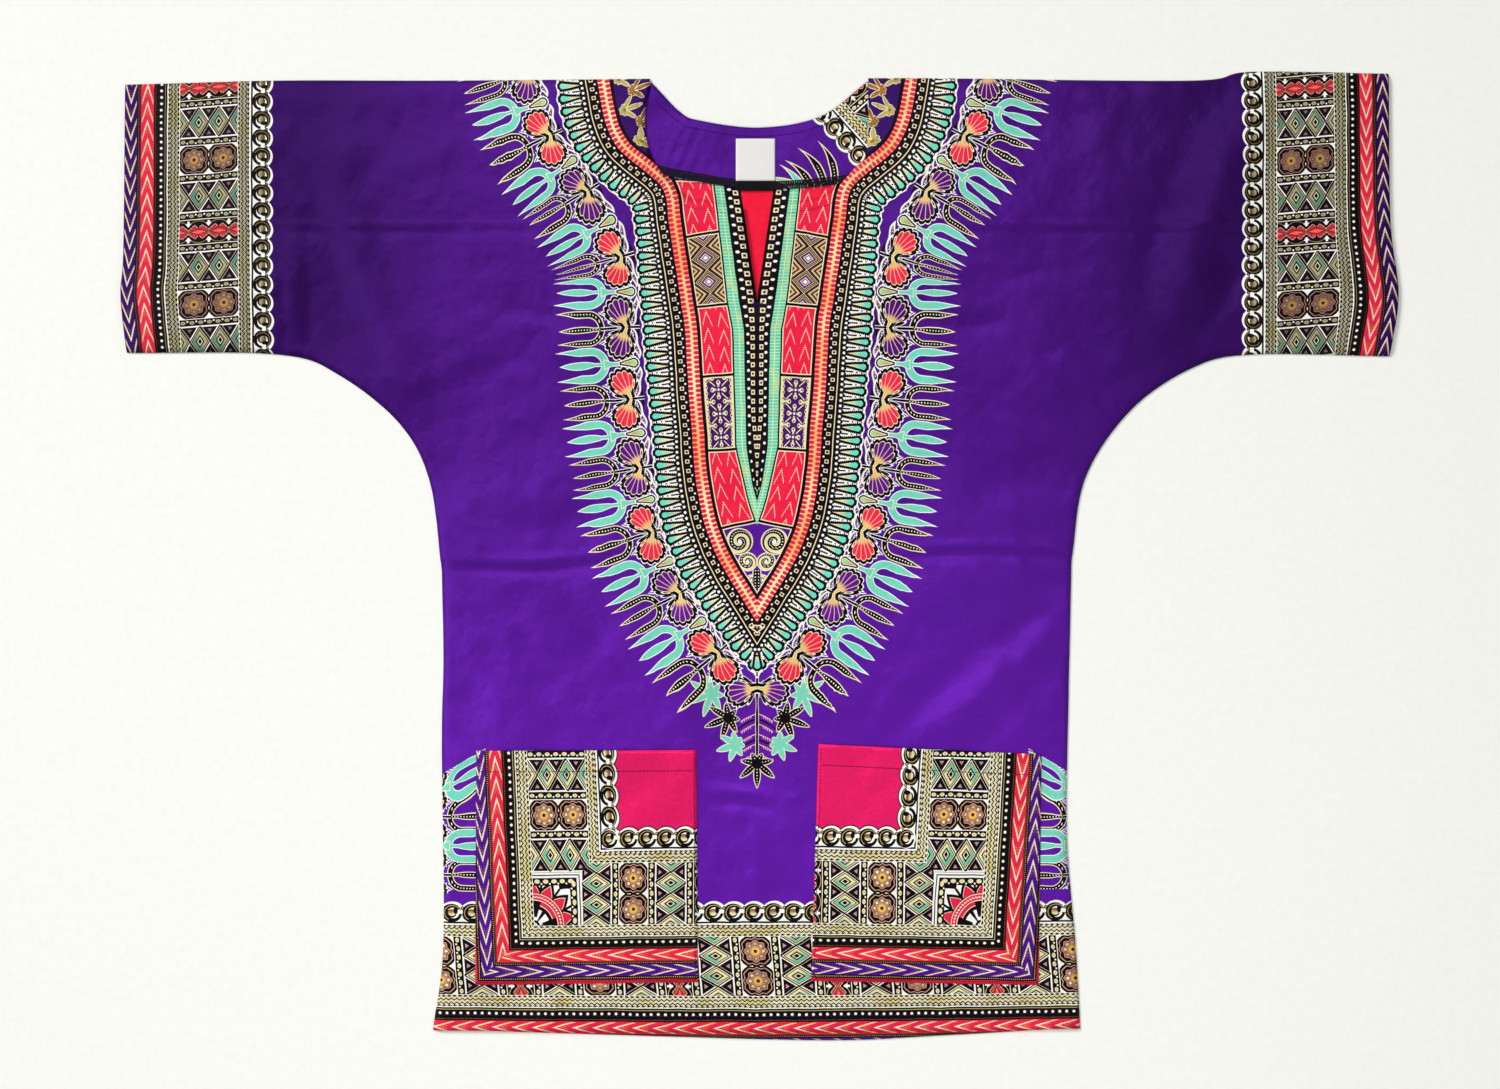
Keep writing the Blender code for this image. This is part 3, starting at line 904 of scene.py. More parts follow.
@dataclass
class NeckInside:
    """What shows in the neck opening: the back's facing, the label and the size tab."""

    finishes: dict
    facing_height: float = FACING_BASE + CLOTH_SINK

    def outline(self) -> np.ndarray:
        """The facing's whole edge."""
        edges = (FACING_NECK, FACING_END_LEFT, FACING_LOWER, FACING_END_RIGHT)
        return np.vstack([through(edge) for edge in edges])

    def facing_underside(self, places: np.ndarray) -> np.ndarray:
        """Height of the facing's underside: slack waves, and slanted puckers near its left end.

        Args:
            places: points in the plan, one row each.

        Returns:
            One height per place, in millimetres.
        """
        x, y = places[:, 0], places[:, 1]
        edge = nearness(places, self.outline(), closed=True).gap
        wave = 0.16 * np.sin(x / 13.0 + y / 30.0) + 0.12 * np.sin(x / 7.5 - y / 17.0)
        slanted = 0.24 * (1.0 + np.sin((0.86 * x - 0.5 * y) * 0.62 + 0.9 * np.sin(y / 11.0)))
        wave = wave + slanted * np.exp(-(((x + 63.0) / 17.0) ** 2))
        return self.facing_height + (0.12 + wave) * smooth_step(edge / 9.0)

    def build(self) -> list:
        """Builds the facing, the label and the tab."""
        return [self.facing(), self.label(), self.tab()]

    def facing(self) -> bpy.types.Object:
        """The facing: a net over its outline, on the inside of the back."""
        corners = (FACING_END_LEFT[0], FACING_LOWER[0], FACING_END_RIGHT[0], FACING_NECK[0])
        grid = net_over(self.outline(), 2.2, corners, AXIS)
        piece = cloth_piece("neck_facing_cloth", grid, self.facing_underside(grid.places))
        dress(piece, self.finishes["facing"])
        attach(piece, ROOT)
        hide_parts("neck_facing")
        return piece

    def ribbon(self, name: str, centre: tuple, size: tuple, base: float, wall: float) -> bpy.types.Object:
        """A strip of ribbon with its ends turned under.

        The net is a rectangle; its height sinks by a quarter round over the last 1.5 mm of every
        side and bows by 0.25 mm between the stitched corners.

        Args:
            name: the piece's name.
            centre: its middle in the plan.
            size: its width and length.
            base: the height of its underside.
            wall: its thickness.

        Returns:
            The piece.
        """
        half = np.array(size) / 2.0
        columns, rows = (max(6, round(length / 0.9)) for length in size)
        u, v = np.meshgrid(np.linspace(-1.0, 1.0, columns), np.linspace(-1.0, 1.0, rows))
        u, v = u.ravel(), v.ravel()
        edge = np.minimum((1.0 - np.abs(u)) * half[0], (1.0 - np.abs(v)) * half[1])
        height = base + 0.25 * (1.0 - u**2) * (1.0 - v**4) - 0.28 * quarter_round(edge, 1.5)
        places = np.column_stack((centre[0] + u * half[0], centre[1] + v * half[1]))
        return cloth_piece(name, Grid(places, net_quads(columns, rows)), height, wall)

    def label(self) -> bpy.types.Object:
        """The woven label, left bare."""
        piece = self.ribbon("neck_label_cloth", LABEL_CENTRE, LABEL_SIZE, LABEL_UNDERSIDE, LABEL_WALL)
        dress(piece, self.finishes["label"])
        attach(piece, ROOT)
        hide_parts("neck_label")
        return piece

    def tab(self) -> bpy.types.Object:
        """The size tab, left bare, tucked a little under the label's lower edge."""
        below = LABEL_CENTRE[1] - (LABEL_SIZE[1] + TAB_SIZE[1]) / 2.0 - TAB_GAP
        centre = (LABEL_CENTRE[0], below + TAB_TUCK / 2.0)
        size = (TAB_SIZE[0], TAB_SIZE[1] + TAB_TUCK)
        piece = self.ribbon("size_tab_cloth", centre, size, TAB_UNDERSIDE, TAB_WALL)
        dress(piece, self.finishes["tab"])
        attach(piece, ROOT)
        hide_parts("size_tab")
        return piece


class Side(Enum):
    """The side of the shirt, as seen from above."""

    LEFT = -1
    RIGHT = 1


@dataclass
class Pocket:
    """A patch pocket: corners from its upper left, round by the hem, to its upper right."""

    name: str
    corners: tuple
    side: Side
    lie: Lie
    finishes: dict
    rise: float = CLOTH + 0.32
    wall: float = 0.66

    def outline(self) -> np.ndarray:
        """The pocket's closed edge, counter-clockwise."""
        return straight(self.corners + (self.corners[0],), 3.0)

    def underside(self, places: np.ndarray) -> np.ndarray:
        """Height of the pocket's underside.

        It follows the front, swells a little away from its sewn edges, gapes at the mouth and has
        a doubled hem along it.

        Args:
            places: points in the plan, one row each.

        Returns:
            One height per place, in millimetres.
        """
        edge = nearness(places, self.outline(), closed=True).gap
        corners = np.array(self.corners)
        mouth = nearness(places, np.vstack((corners[3], corners[0])))
        sewn = nearness(places, corners[:4]).gap
        gape = POCKET_MOUTH_GAPE * np.sin(math.pi * np.clip(mouth.along / mouth.length, 0.0, 1.0))
        gape = gape * (1.0 - smooth_step(mouth.gap / POCKET_MOUTH_REACH))
        slack = 0.28 * smooth_step(sewn / 16.0)
        hem = 0.22 * (1.0 - smooth_step((mouth.gap - 17.0) / 2.0)) * smooth_step(sewn / 3.0)
        round_off = 0.42 * quarter_round(edge, 1.6)
        return self.lie.underside(places) + self.rise + gape + slack + hem - round_off * (mouth.gap > 1.7)

    def top(self, places: np.ndarray) -> np.ndarray:
        """Height of the pocket's upper face."""
        return self.underside(places) + self.wall

    def corner(self, places: np.ndarray) -> np.ndarray:
        """Distances in from the outer side and from the bottom, and which way the print runs.

        Args:
            places: x and y of each place, in millimetres.

        Returns:
            An array (n, 3): the two distances, and 1 on a left pocket or -1 on a right one.
        """
        a, b, c, d = (np.array(corner) for corner in self.corners)
        outer = (a, b) if self.side is Side.LEFT else (c, d)
        from_side = nearness(places, np.vstack(outer)).gap
        from_bottom = nearness(places, np.vstack((b, c))).gap
        way = np.full(len(places), 1.0 if self.side is Side.LEFT else -1.0)
        return np.column_stack((from_side, from_bottom, way))

    def build(self) -> bpy.types.Object:
        """Builds the pocket as a sheet on its solid."""
        grid = net_over(self.outline(), SMALL_STEP, self.corners)
        piece = cloth_piece(f"{self.name}_cloth", grid, self.underside(grid.places), self.wall)
        note(piece, "corner", self.corner(grid.places))
        dress(piece, self.finishes["pocket"])
        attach(piece, ROOT)
        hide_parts(self.name)
        return piece


@dataclass(frozen=True)
class Stitch:
    """One kind of stitch: spacing, length and half thickness of its thread."""

    pitch: float = 3.1
    length: float = 2.5
    radius: float = 0.28


HEAVY_STITCH = Stitch(2.9, 2.6, 0.42)
BAR_STITCH = Stitch(2.1, 2.4, 0.34)
LABEL_STITCH = Stitch(2.4, 1.9, 0.2)

# Points round a thread
SPOKES = 6


def even_places(run: np.ndarray, pitch: float) -> tuple[np.ndarray, np.ndarray]:
    """Places at an even pitch along a run, and the run's direction at each.

    Args:
        run: the run's points.
        pitch: the spacing along it.

    Returns:
        The places and their unit directions.
    """
    steps = np.linalg.norm(np.diff(run, axis=0), axis=1)
    length = np.concatenate(([0.0], np.cumsum(steps)))
    count = max(2, int(length[-1] / pitch))
    at = (np.arange(count) + 0.5) * length[-1] / count
    places = np.column_stack([np.interp(at, length, run[:, axis]) for axis in (0, 1)])
    ahead = np.column_stack([np.interp(at + 0.5, length, run[:, axis]) for axis in (0, 1)])
    behind = np.column_stack([np.interp(at - 0.5, length, run[:, axis]) for axis in (0, 1)])
    along = ahead - behind
    return places, along / np.maximum(np.linalg.norm(along, axis=1), 1e-9)[:, None]


def tube_faces(rings: int) -> np.ndarray:
    """The four-sided faces of a closed tube of six-point rings: its wall, and two for each end.

    Args:
        rings: how many rings the tube has.

    Returns:
        One row of point numbers per face.
    """
    ring, spoke = np.meshgrid(np.arange(rings - 1), np.arange(SPOKES), indexing="ij")
    a = (ring * SPOKES + spoke).ravel()
    b = (ring * SPOKES + (spoke + 1) % SPOKES).ravel()
    caps = np.array([[3, 2, 1, 0], [5, 4, 3, 0], [0, 1, 2, 3], [0, 3, 4, 5]])
    caps[2:] += (rings - 1) * SPOKES
    return np.vstack((np.column_stack((a, b, b + SPOKES, a + SPOKES)), caps))


def stitch_mesh(places: np.ndarray, along: np.ndarray, heights: tuple, stitch: Stitch) -> tuple:
    """Points and faces of a row of stitches.

    Each is a bead of thread: rings of six points whose size swells as a half sine from one end to
    the other, and whose ends dip into the cloth.

    Args:
        places: the middle of each stitch.
        along: its direction.
        heights: the cloth's height at each stitch's start, middle and end.
        stitch: the kind of stitch.

    Returns:
        The points and the four-sided faces.
    """
    rings = 5
    t = np.linspace(-1.0, 1.0, rings)
    turn = np.arange(SPOKES) * 2.0 * math.pi / SPOKES
    size = stitch.radius * np.sqrt(np.clip(1.0 - t**2, 0.05, 1.0))
    reach = (t * stitch.length / 2.0)[:, None] + 0.0 * turn
    sideways = size[:, None] * np.cos(turn)
    upwards = size[:, None] * np.sin(turn)
    across = leftwards(along)
    plan = places[:, None, None, :] + along[:, None, None, :] * reach[None, :, :, None]
    plan = plan + across[:, None, None, :] * sideways[None, :, :, None]
    start, middle, end = (height[:, None, None] for height in heights)
    tt = t[None, :, None]
    cloth = middle + (end - start) / 2.0 * tt + (start + end - 2.0 * middle) / 2.0 * tt**2
    z = cloth + upwards[None] + stitch.radius * (0.35 - 0.9 * tt**2)
    points = np.concatenate((plan, z[..., None]), axis=3).reshape(-1, 3)
    shift = (np.arange(len(places)) * rings * SPOKES)[:, None, None]
    return points, (tube_faces(rings)[None] + shift).reshape(-1, 4)


@dataclass
class Seam:
    """A row of stitches on a piece of cloth whose upper face has a given height."""

    run: np.ndarray
    top: object
    stitch: Stitch = Stitch()

    def mesh(self) -> tuple:
        """Points and faces of the row."""
        places, along = even_places(self.run, self.stitch.pitch)
        reach = along * self.stitch.length / 2.0
        heights = tuple(self.top(places + offset) for offset in (-reach, 0.0 * reach, reach))
        return stitch_mesh(places, along, heights, self.stitch)


def joined(parts: list) -> tuple:
    """Several sets of points and faces as one."""
    starts = np.cumsum([0] + [len(points) for points, _ in parts[:-1]])
    points = np.vstack([points for points, _ in parts])
    return points, np.vstack([faces + start for (_, faces), start in zip(parts, starts)])


def tube_along(path: np.ndarray, radius: float) -> tuple:
    """Points and faces of a round thread along a path in space.

    Rings of equal size stand square to the path's direction in the plan.

    Args:
        path: the thread's middle line, one row per point.
        radius: its half thickness.

    Returns:
        The points and the four-sided faces, with both ends closed.
    """
    along = np.gradient(path, axis=0)
    along /= np.linalg.norm(along, axis=1)[:, None]
    across = np.column_stack((-along[:, 1], along[:, 0], np.zeros(len(path))))
    across /= np.maximum(np.linalg.norm(across, axis=1), 1e-9)[:, None]
    up = np.cross(along, across)
    turn = np.arange(SPOKES) * 2.0 * math.pi / SPOKES
    ring = across[:, None, :] * np.cos(turn)[None, :, None] + up[:, None, :] * np.sin(turn)[None, :, None]
    points = (path[:, None, :] + radius * ring).reshape(-1, 3)
    return points, tube_faces(len(path))


@dataclass
class Stitching:
    """All the stitching that shows, as a few joined pieces."""

    lie: Lie
    inside: NeckInside
    pockets: list
    finishes: dict

    def build(self) -> list:
        """Builds each joined piece of stitching."""
        return [
            self.piece("neck_stitching", self.neck(), "purple_thread", "printed_purple"),
            self.piece("hem_stitching", self.hems(), "purple_thread", "printed_purple"),
            self.piece("pocket_stitching", self.pocket_rows(), "red_thread", "printed_red"),
            self.piece("facing_stitching", self.facing_row(), "dark_thread", "facing_purple"),
            self.piece("facing_overlock", self.overlock(), "dark_thread", "facing_purple"),
            self.piece("label_stitching", self.label_rows(), "white_thread", "label_white"),
        ]

    def piece(self, name: str, mesh: tuple, finish: str, slot: str) -> bpy.types.Object:
        """Makes one piece of stitching and rides it on the shirt.

        Args:
            name: the piece's name.
            mesh: its points and faces.
            finish: the name of its finish.
            slot: not used.

        Returns:
            The piece.
        """
        piece = new_mesh(name, *mesh)
        dress(piece, [self.finishes[finish]])
        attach(piece, ROOT)
        return piece

    def neck(self) -> tuple:
        """The front neck's topstitching, the slit's edges and the bar at its foot."""
        right = inset(whole_run(NECK_FRONT_RIGHT), 7.6)[2:-1]
        left = inset(whole_run(NECK_FRONT_LEFT), 7.6)[1:-2]
        tip = np.array(((13.0, 292.0), (3.2, 216.0), (-1.2, 212.5), (-5.6, 216.0), (-17.0, 292.0)))
        seams = [Seam(run, self.lie.top) for run in (right, left, straight(tuple(map(tuple, tip)), 2.0))]
        bar = np.array(((3.0, 217.6), (-5.4, 217.6)))
        bars = [Seam(bar - (0.0, drop), self.lie.top, BAR_STITCH) for drop in (0.0, 1.0, 2.0)]
        return joined([seam.mesh() for seam in seams + bars])

    def hems(self) -> tuple:
        """The rows that hold the turned cuffs and the hem."""
        parts = []
        for edge in (CUFF_LEFT, HEM_FRONT, CUFF_RIGHT):
            run = inset(whole_run(edge), self.lie.hem_width - 1.4)[2:-2]
            parts.append(Seam(run, self.lie.top).mesh())
        return joined(parts)

    def pocket_rows(self) -> tuple:
        """Each pocket's edge row and the row under its mouth's hem."""
        parts = []
        for pocket in self.pockets:
            a, d = np.array(pocket.corners[0]), np.array(pocket.corners[3])
            edge = inset(straight(pocket.corners, 3.0), 2.2)[1:-1]
            down = np.array((0.0, -18.0))
            mouth = np.vstack((a + down + (3.0, 0.0), d + down - (3.0, 0.0)))
            parts.append(Seam(edge, pocket.top, HEAVY_STITCH).mesh())
            parts.append(Seam(mouth, pocket.top, HEAVY_STITCH).mesh())
        return joined(parts)

    def facing_top(self, places: np.ndarray) -> np.ndarray:
        """Height of the facing's upper face."""
        return self.inside.facing_underside(places) + CLOTH

    def facing_row(self) -> tuple:
        """The row that holds the facing to the back's neck edge."""
        run = inset(whole_run(FACING_NECK), 7.5)[3:-3]
        return Seam(run, self.facing_top, HEAVY_STITCH).mesh()

    def overlock(self) -> tuple:
        """The overlocked lower edge: a zigzag of thread and a looped thread along the edge."""
        run = whole_run(FACING_LOWER)
        places, along = even_places(run, 0.25)
        across = leftwards(along)
        sway = 3.2 + 3.0 * np.sin(np.arange(len(places)) * math.pi / 4.0)
        zigzag = places + across * sway[:, None]
        lift = self.facing_top(zigzag) + 0.16
        rim, rim_along = even_places(run, 0.7)
        swing = 0.15 + 0.35 * np.sin(np.arange(len(rim)) * 1.9)
        rim = rim + leftwards(rim_along) * swing[:, None]
        rim_lift = self.facing_top(rim) + 0.1 + 0.12 * np.cos(np.arange(len(rim)) * 1.9)
        inner = inset(run, 6.2)
        inner_lift = self.facing_top(inner) + 0.2
        threads = ((zigzag, lift, 0.5), (rim, rim_lift, 0.45), (inner, inner_lift, 0.5))
        return joined([tube_along(np.column_stack((plan, z)), radius) for plan, z, radius in threads])

    def label_rows(self) -> tuple:
        """The short rows that hold the label's two ends."""
        top = LABEL_CENTRE[1] + LABEL_SIZE[1] / 2.0 - 1.5
        bottom = LABEL_CENTRE[1] - LABEL_SIZE[1] / 2.0 + 1.3
        half = LABEL_SIZE[0] / 2.0 - 1.2
        level = LABEL_UNDERSIDE + LABEL_WALL - LABEL_STITCH_SINK
        parts = []
        for y in (top, bottom):
            run = np.array(((LABEL_CENTRE[0] - half, y), (LABEL_CENTRE[0] + half, y)))
            parts.append(Seam(run, lambda places: np.full(len(places), level), LABEL_STITCH).mesh())
        return joined(parts)


@dataclass
class Studio:
    """Floor, light and camera."""

    centre: tuple = (-8.2, 9.5)
    frame_width: float = 1290.0
    lens: float = 60.0
    sensor: float = 36.0

    def build(self, floor_finish: bpy.types.Material) -> None:
        """Lays the floor, sets the lights and aims the camera straight down."""
        self.floor(floor_finish)
        self.world()
        self.lamp("key_light", (-5.0, 3.6, 4.1), 3.0, 500.0)
        self.lamp("fill_light", (2.6, 0.9, 2.4), 2.2, 12.0)
        self.lamp("hem_light", (0.1, -0.8, 2.2), 0.5, 19.0)
        self.camera()

    def floor(self, finish: bpy.types.Material) -> None:
        """A wide pale floor, just under the shirt."""
        half, level = 3500.0, -0.4
        corners = ((-half, -half), (half, -half), (half, half), (-half, half))
        points = np.array([(x, y, level) for x, y in corners])
        piece = new_mesh("floor", points, np.array([[0, 1, 2, 3]]))
        dress(piece, [finish])

    def world(self) -> None:
        """Even pale light from all round."""
        world = bpy.data.worlds.new("studio")
        world.use_nodes = True
        back = world.node_tree.nodes["Background"]
        back.inputs["Color"].default_value = (1.0, 1.0, 0.985, 1.0)
        back.inputs["Strength"].default_value = 0.2
        bpy.context.scene.world = world

    def lamp(self, name: str, place: tuple, size: float, power: float) -> None:
        """A wide square light that faces the shirt's middle.

        Args:
            name: the light's name.
            place: where it hangs, in metres.
            size: the side of its square, in metres.
            power: in watts.
        """
        data = bpy.data.lights.new(name, "AREA")
        data.shape = "SQUARE"
        data.size = size
        data.energy = power
        lamp = bpy.data.objects.new(name, data)
        bpy.context.scene.collection.objects.link(lamp)
        lamp.location = place
        x, y, z = place
        tilt = math.atan2(math.hypot(x, y), z)
        lamp.rotation_euler = (tilt, 0.0, math.atan2(x, -y) if math.hypot(x, y) > 0.0 else 0.0)

    def camera(self) -> None:
        """A camera that looks straight down on the shirt."""
        data = bpy.data.cameras.new("camera")
        data.lens = self.lens
        data.sensor_width = self.sensor
        data.sensor_fit = "HORIZONTAL"
        data.clip_end = 20.0
        camera = bpy.data.objects.new("camera", data)
        height = self.frame_width * self.lens / self.sensor
        camera.location = (self.centre[0] * MM, self.centre[1] * MM, height * MM)
        bpy.context.scene.collection.objects.link(camera)
        bpy.context.scene.camera = camera


def srgb(code: str) -> tuple:
    """A light-true colour from a six-digit code: each channel's display curve is undone."""
    parts = [int(code[i : i + 2], 16) / 255.0 for i in (0, 2, 4)]
    return tuple(c / 12.92 if c <= 0.04045 else ((c + 0.055) / 1.055) ** 2.4 for c in parts)


class Field:
    """A number that varies over a surface. Arithmetic on it adds shader nodes."""

    def __init__(self, board: "Board", socket: bpy.types.NodeSocket) -> None:
        """Wraps one output socket."""
        self.board = board
        self.socket = socket

    def _math(self, operation: str, *others: "Field | float") -> "Field":
        """A Math node on this number and up to two more."""
        return self.board.math(operation, self, *others)

    def __add__(self, other: "Field | float") -> "Field":
        """self + other."""
        return self._math("ADD", other)

    __radd__ = __add__

    def __sub__(self, other: "Field | float") -> "Field":
        """self - other."""
        return self._math("SUBTRACT", other)

    def __rsub__(self, other: float) -> "Field":
        """other - self."""
        return self.board.math("SUBTRACT", other, self)

    def __mul__(self, other: "Field | float") -> "Field":
        """self * other."""
        return self._math("MULTIPLY", other)

    __rmul__ = __mul__

    def __truediv__(self, other: "Field | float") -> "Field":
        """self / other."""
        return self._math("DIVIDE", other)

    def __neg__(self) -> "Field":
        """-self."""
        return self._math("MULTIPLY", -1.0)

    def __abs__(self) -> "Field":
        """The size of self."""
        return self._math("ABSOLUTE")

    def __lt__(self, other: "Field | float") -> "Field":
        """1 where self is below other, else 0."""
        return self._math("LESS_THAN", other)

    def __gt__(self, other: "Field | float") -> "Field":
        """1 where self is above other, else 0."""
        return self._math("GREATER_THAN", other)

    def __and__(self, other: "Field | float") -> "Field":
        """1 where both masks are 1: their product."""
        return self._math("MULTIPLY", other)

    def __or__(self, other: "Field | float") -> "Field":
        """1 where either mask is 1: the greater."""
        return self._math("MAXIMUM", other)

    def lesser(self, other: "Field | float") -> "Field":
        """The lesser of two numbers."""
        return self._math("MINIMUM", other)

    def greater(self, other: "Field | float") -> "Field":
        """The greater of two numbers."""
        return self._math("MAXIMUM", other)

    def scaled(self, factor: "Field | float", shift: "Field | float") -> "Field":
        """self * factor + shift."""
        return self._math("MULTIPLY_ADD", factor, shift)

    def folded(self, half: float) -> "Field":
        """Distance to the nearest multiple of twice a length: a triangle wave from 0 to it."""
        return self._math("PINGPONG", half)

    def repeated(self, period: float) -> "Field":
        """Signed offset from the nearest multiple of a period."""
        return self._math("WRAP", period / 2.0, -period / 2.0)

    def wave(self) -> "Field":
        """The sine."""
        return self._math("SINE")

    def floor(self) -> "Field":
        """The whole number below."""
        return self._math("FLOOR")

    def near(self, value: float, half: float) -> "Field":
        """1 within half of a value, else 0."""
        return self._math("COMPARE", value, half)

    def between(self, low: float, high: float) -> "Field":
        """1 from low to high, else 0."""
        return self.near((low + high) / 2.0, (high - low) / 2.0)

    def eased(self, low: float, high: float) -> "Field":
        """Rises smoothly from 0 at low to 1 at high."""
        settings = {"interpolation_type": "SMOOTHSTEP"}
        inputs = {"Value": self, "From Min": low, "From Max": high}
        return Field(self.board, self.board.node("ShaderNodeMapRange", settings, inputs).outputs["Result"])


class Board:
    """The node tree of one finish."""

    def __init__(self, name: str) -> None:
        """Starts a material with an empty tree but for its shader."""
        self.material = bpy.data.materials.new(name)
        self.material.use_nodes = True
        self.tree = self.material.node_tree
        self.shader = self.tree.nodes["Principled BSDF"]

    def node(self, kind: str, settings: dict | None = None, inputs: dict | None = None) -> bpy.types.Node:
        """Adds a node.

        Args:
            kind: the node's type.
            settings: its own settings, set first.
            inputs: values or links of its sockets, by name or number.

        Returns:
            The node.
        """
        made = self.tree.nodes.new(kind)
        for name, value in (settings or {}).items():
            setattr(made, name, value)
        for name, value in (inputs or {}).items():
            self.plug(made.inputs[name], value)
        return made

    def plug(self, socket: bpy.types.NodeSocket, value: object) -> None:
        """Links a field or socket to a socket, or sets its value.

        Args:
            socket: the socket to feed.
            value: a field, a socket or a plain value.
        """
        if isinstance(value, Field):
            self.tree.links.new(value.socket, socket)
        elif isinstance(value, bpy.types.NodeSocket):
            self.tree.links.new(value, socket)
        else:
            socket.default_value = value

    def math(self, operation: str, *values: "Field | float") -> Field:
        """A Math node on up to three numbers."""
        inputs = dict(enumerate(values))
        return Field(self, self.node("ShaderNodeMath", {"operation": operation}, inputs).outputs[0])

    def length(self, x: Field, y: Field) -> Field:
        """The root of the sum of two squares."""
        joined_up = self.node("ShaderNodeCombineXYZ", {}, {"X": x, "Y": y}).outputs[0]
        measured = self.node("ShaderNodeVectorMath", {"operation": "LENGTH"}, {0: joined_up})
        return Field(self, measured.outputs["Value"])

    def angle(self, y: Field, x: Field) -> Field:
        """The angle whose tangent is y / x, all the way round."""
        return self.math("ARCTAN2", y, x)

    def split(self, vector: bpy.types.NodeSocket) -> tuple:
        """The three numbers of a vector."""
        parts = self.node("ShaderNodeSeparateXYZ", {}, {0: vector}).outputs
        return tuple(Field(self, part) for part in parts)

    def ruler(self, name: str) -> tuple:
        """The three numbers that a piece keeps at each of its points, by name."""
        return self.split(self.node("ShaderNodeAttribute", {"attribute_name": name}).outputs["Vector"])

    def place(self) -> bpy.types.NodeSocket:
        """Object coordinates, in metres."""
        return self.node("ShaderNodeTexCoord").outputs["Object"]

    def plan(self) -> tuple:
        """The place in the plan, in millimetres: x from the shirt's middle line, and y."""
        x, y, _ = self.split(self.place())
        return x.scaled(1000.0, -AXIS), y * 1000.0

    def noise(self, spacing: float, detail: float = 2.0, roughness: float = 0.5) -> bpy.types.Node:
        """A noise of a given grain in millimetres, on Object coordinates."""
        inputs = {"Vector": self.place(), "Scale": 1000.0 / spacing, "Detail": detail, "Roughness": roughness}
        return self.node("ShaderNodeTexNoise", {}, inputs)

    def grain(self, spacing: float, detail: float = 2.0, roughness: float = 0.5) -> Field:
        """The strength of a noise, from 0 to 1."""
        return Field(self, self.noise(spacing, detail, roughness).outputs["Fac"])

    def sway(self, spacing: float, reach: float) -> tuple:
        """Two slow numbers between about -reach and reach, for lines drawn by hand."""
        parts = self.split(self.noise(spacing, 1.0).outputs["Color"])
        return tuple(part.scaled(4.0 * reach, -2.0 * reach) for part in parts[:2])

    def blend(self, factor: "Field | float", low: object, high: object) -> bpy.types.NodeSocket:
        """A colour between two others."""
        inputs = {0: factor, 6: opaque(low), 7: opaque(high)}
        return self.node("ShaderNodeMix", {"data_type": "RGBA"}, inputs).outputs[2]

    def mixed(self, factor: Field, low: "Field | float", high: "Field | float") -> Field:
        """A number between two others."""
        made = self.node("ShaderNodeMix", {"data_type": "FLOAT"}, {0: factor, 2: low, 3: high})
        return Field(self, made.outputs[0])

    def bump(self, height: Field, distance: float, strength: float = 1.0) -> None:
        """Shapes the shader's normal with a height, whose full range is a distance in millimetres."""
        inputs = {"Height": height, "Distance": distance * MM, "Strength": strength}
        made = self.node("ShaderNodeBump", {}, inputs)
        self.plug(self.shader.inputs["Normal"], made.outputs[0])


def opaque(colour: object) -> object:
    """A colour with full cover, or a link as it is."""
    return (*colour, 1.0) if isinstance(colour, tuple) else colour


@dataclass(frozen=True)
class Ink:
    """A colour of the print, and how much of it is metal foil."""

    colour: tuple
    foil: float = 0.0


BLACK = Ink(srgb("0d0507"))
WHITE = Ink(srgb("f6f4ee"))
PURPLE = Ink(srgb("50168e"))
RED = Ink(srgb("e6264a"))
TEAL = Ink(srgb("70dbc3"))
GOLD = Ink(srgb("d8c36e"), 0.6)
CREAM = Ink(srgb("f6e6c0"), 0.15)
BRONZE = Ink(srgb("93692e"), 0.6)


class Paint:
    """The colours of a print, laid one over another."""

    def __init__(self, board: Board, colour: object, foil: float = 0.0) -> None:
        """Starts from a ground colour."""
        self.board = board
        self.colour = colour
        self.foil = foil

    def lay(self, mask: Field, ink: Ink) -> None:
        """Covers what a mask shows with an ink."""
        self.colour = self.board.blend(mask, self.colour, ink.colour)
        if isinstance(self.foil, Field) or ink.foil != self.foil:
            self.foil = self.board.mixed(mask, self.foil, ink.foil)

    def shade(self, mask: Field, colour: object, foil: "Field | float") -> None:
        """Covers what a mask shows with a colour that varies."""
        self.colour = self.board.blend(mask, self.colour, colour)
        self.foil = self.board.mixed(mask, self.foil, foil)

    def over(self, mask: Field, other: "Paint") -> None:
        """Covers what a mask shows with another print."""
        self.shade(mask, other.colour, other.foil)
HOT_RED = Ink(srgb("f02068"))
WEDGE_RED = Ink(srgb("f5183a"))
AUBERGINE = Ink(srgb("3a0f3c"))
ORANGE = Ink(srgb("f0873a"), 0.2)
PLUM = Ink(srgb("4c1840"))
SAND = Ink(srgb("dfae8c"), 0.4)
UMBER = Ink(srgb("c89a94"), 0.5)
PINK = Ink(srgb("f7b9a8"), 0.1)
MINT = Ink(srgb("a6dca0"), 0.2)
LEAF_GOLD = Ink(srgb("baad64"), 0.5)
STRAW = Ink(srgb("efe5b2"), 0.4)


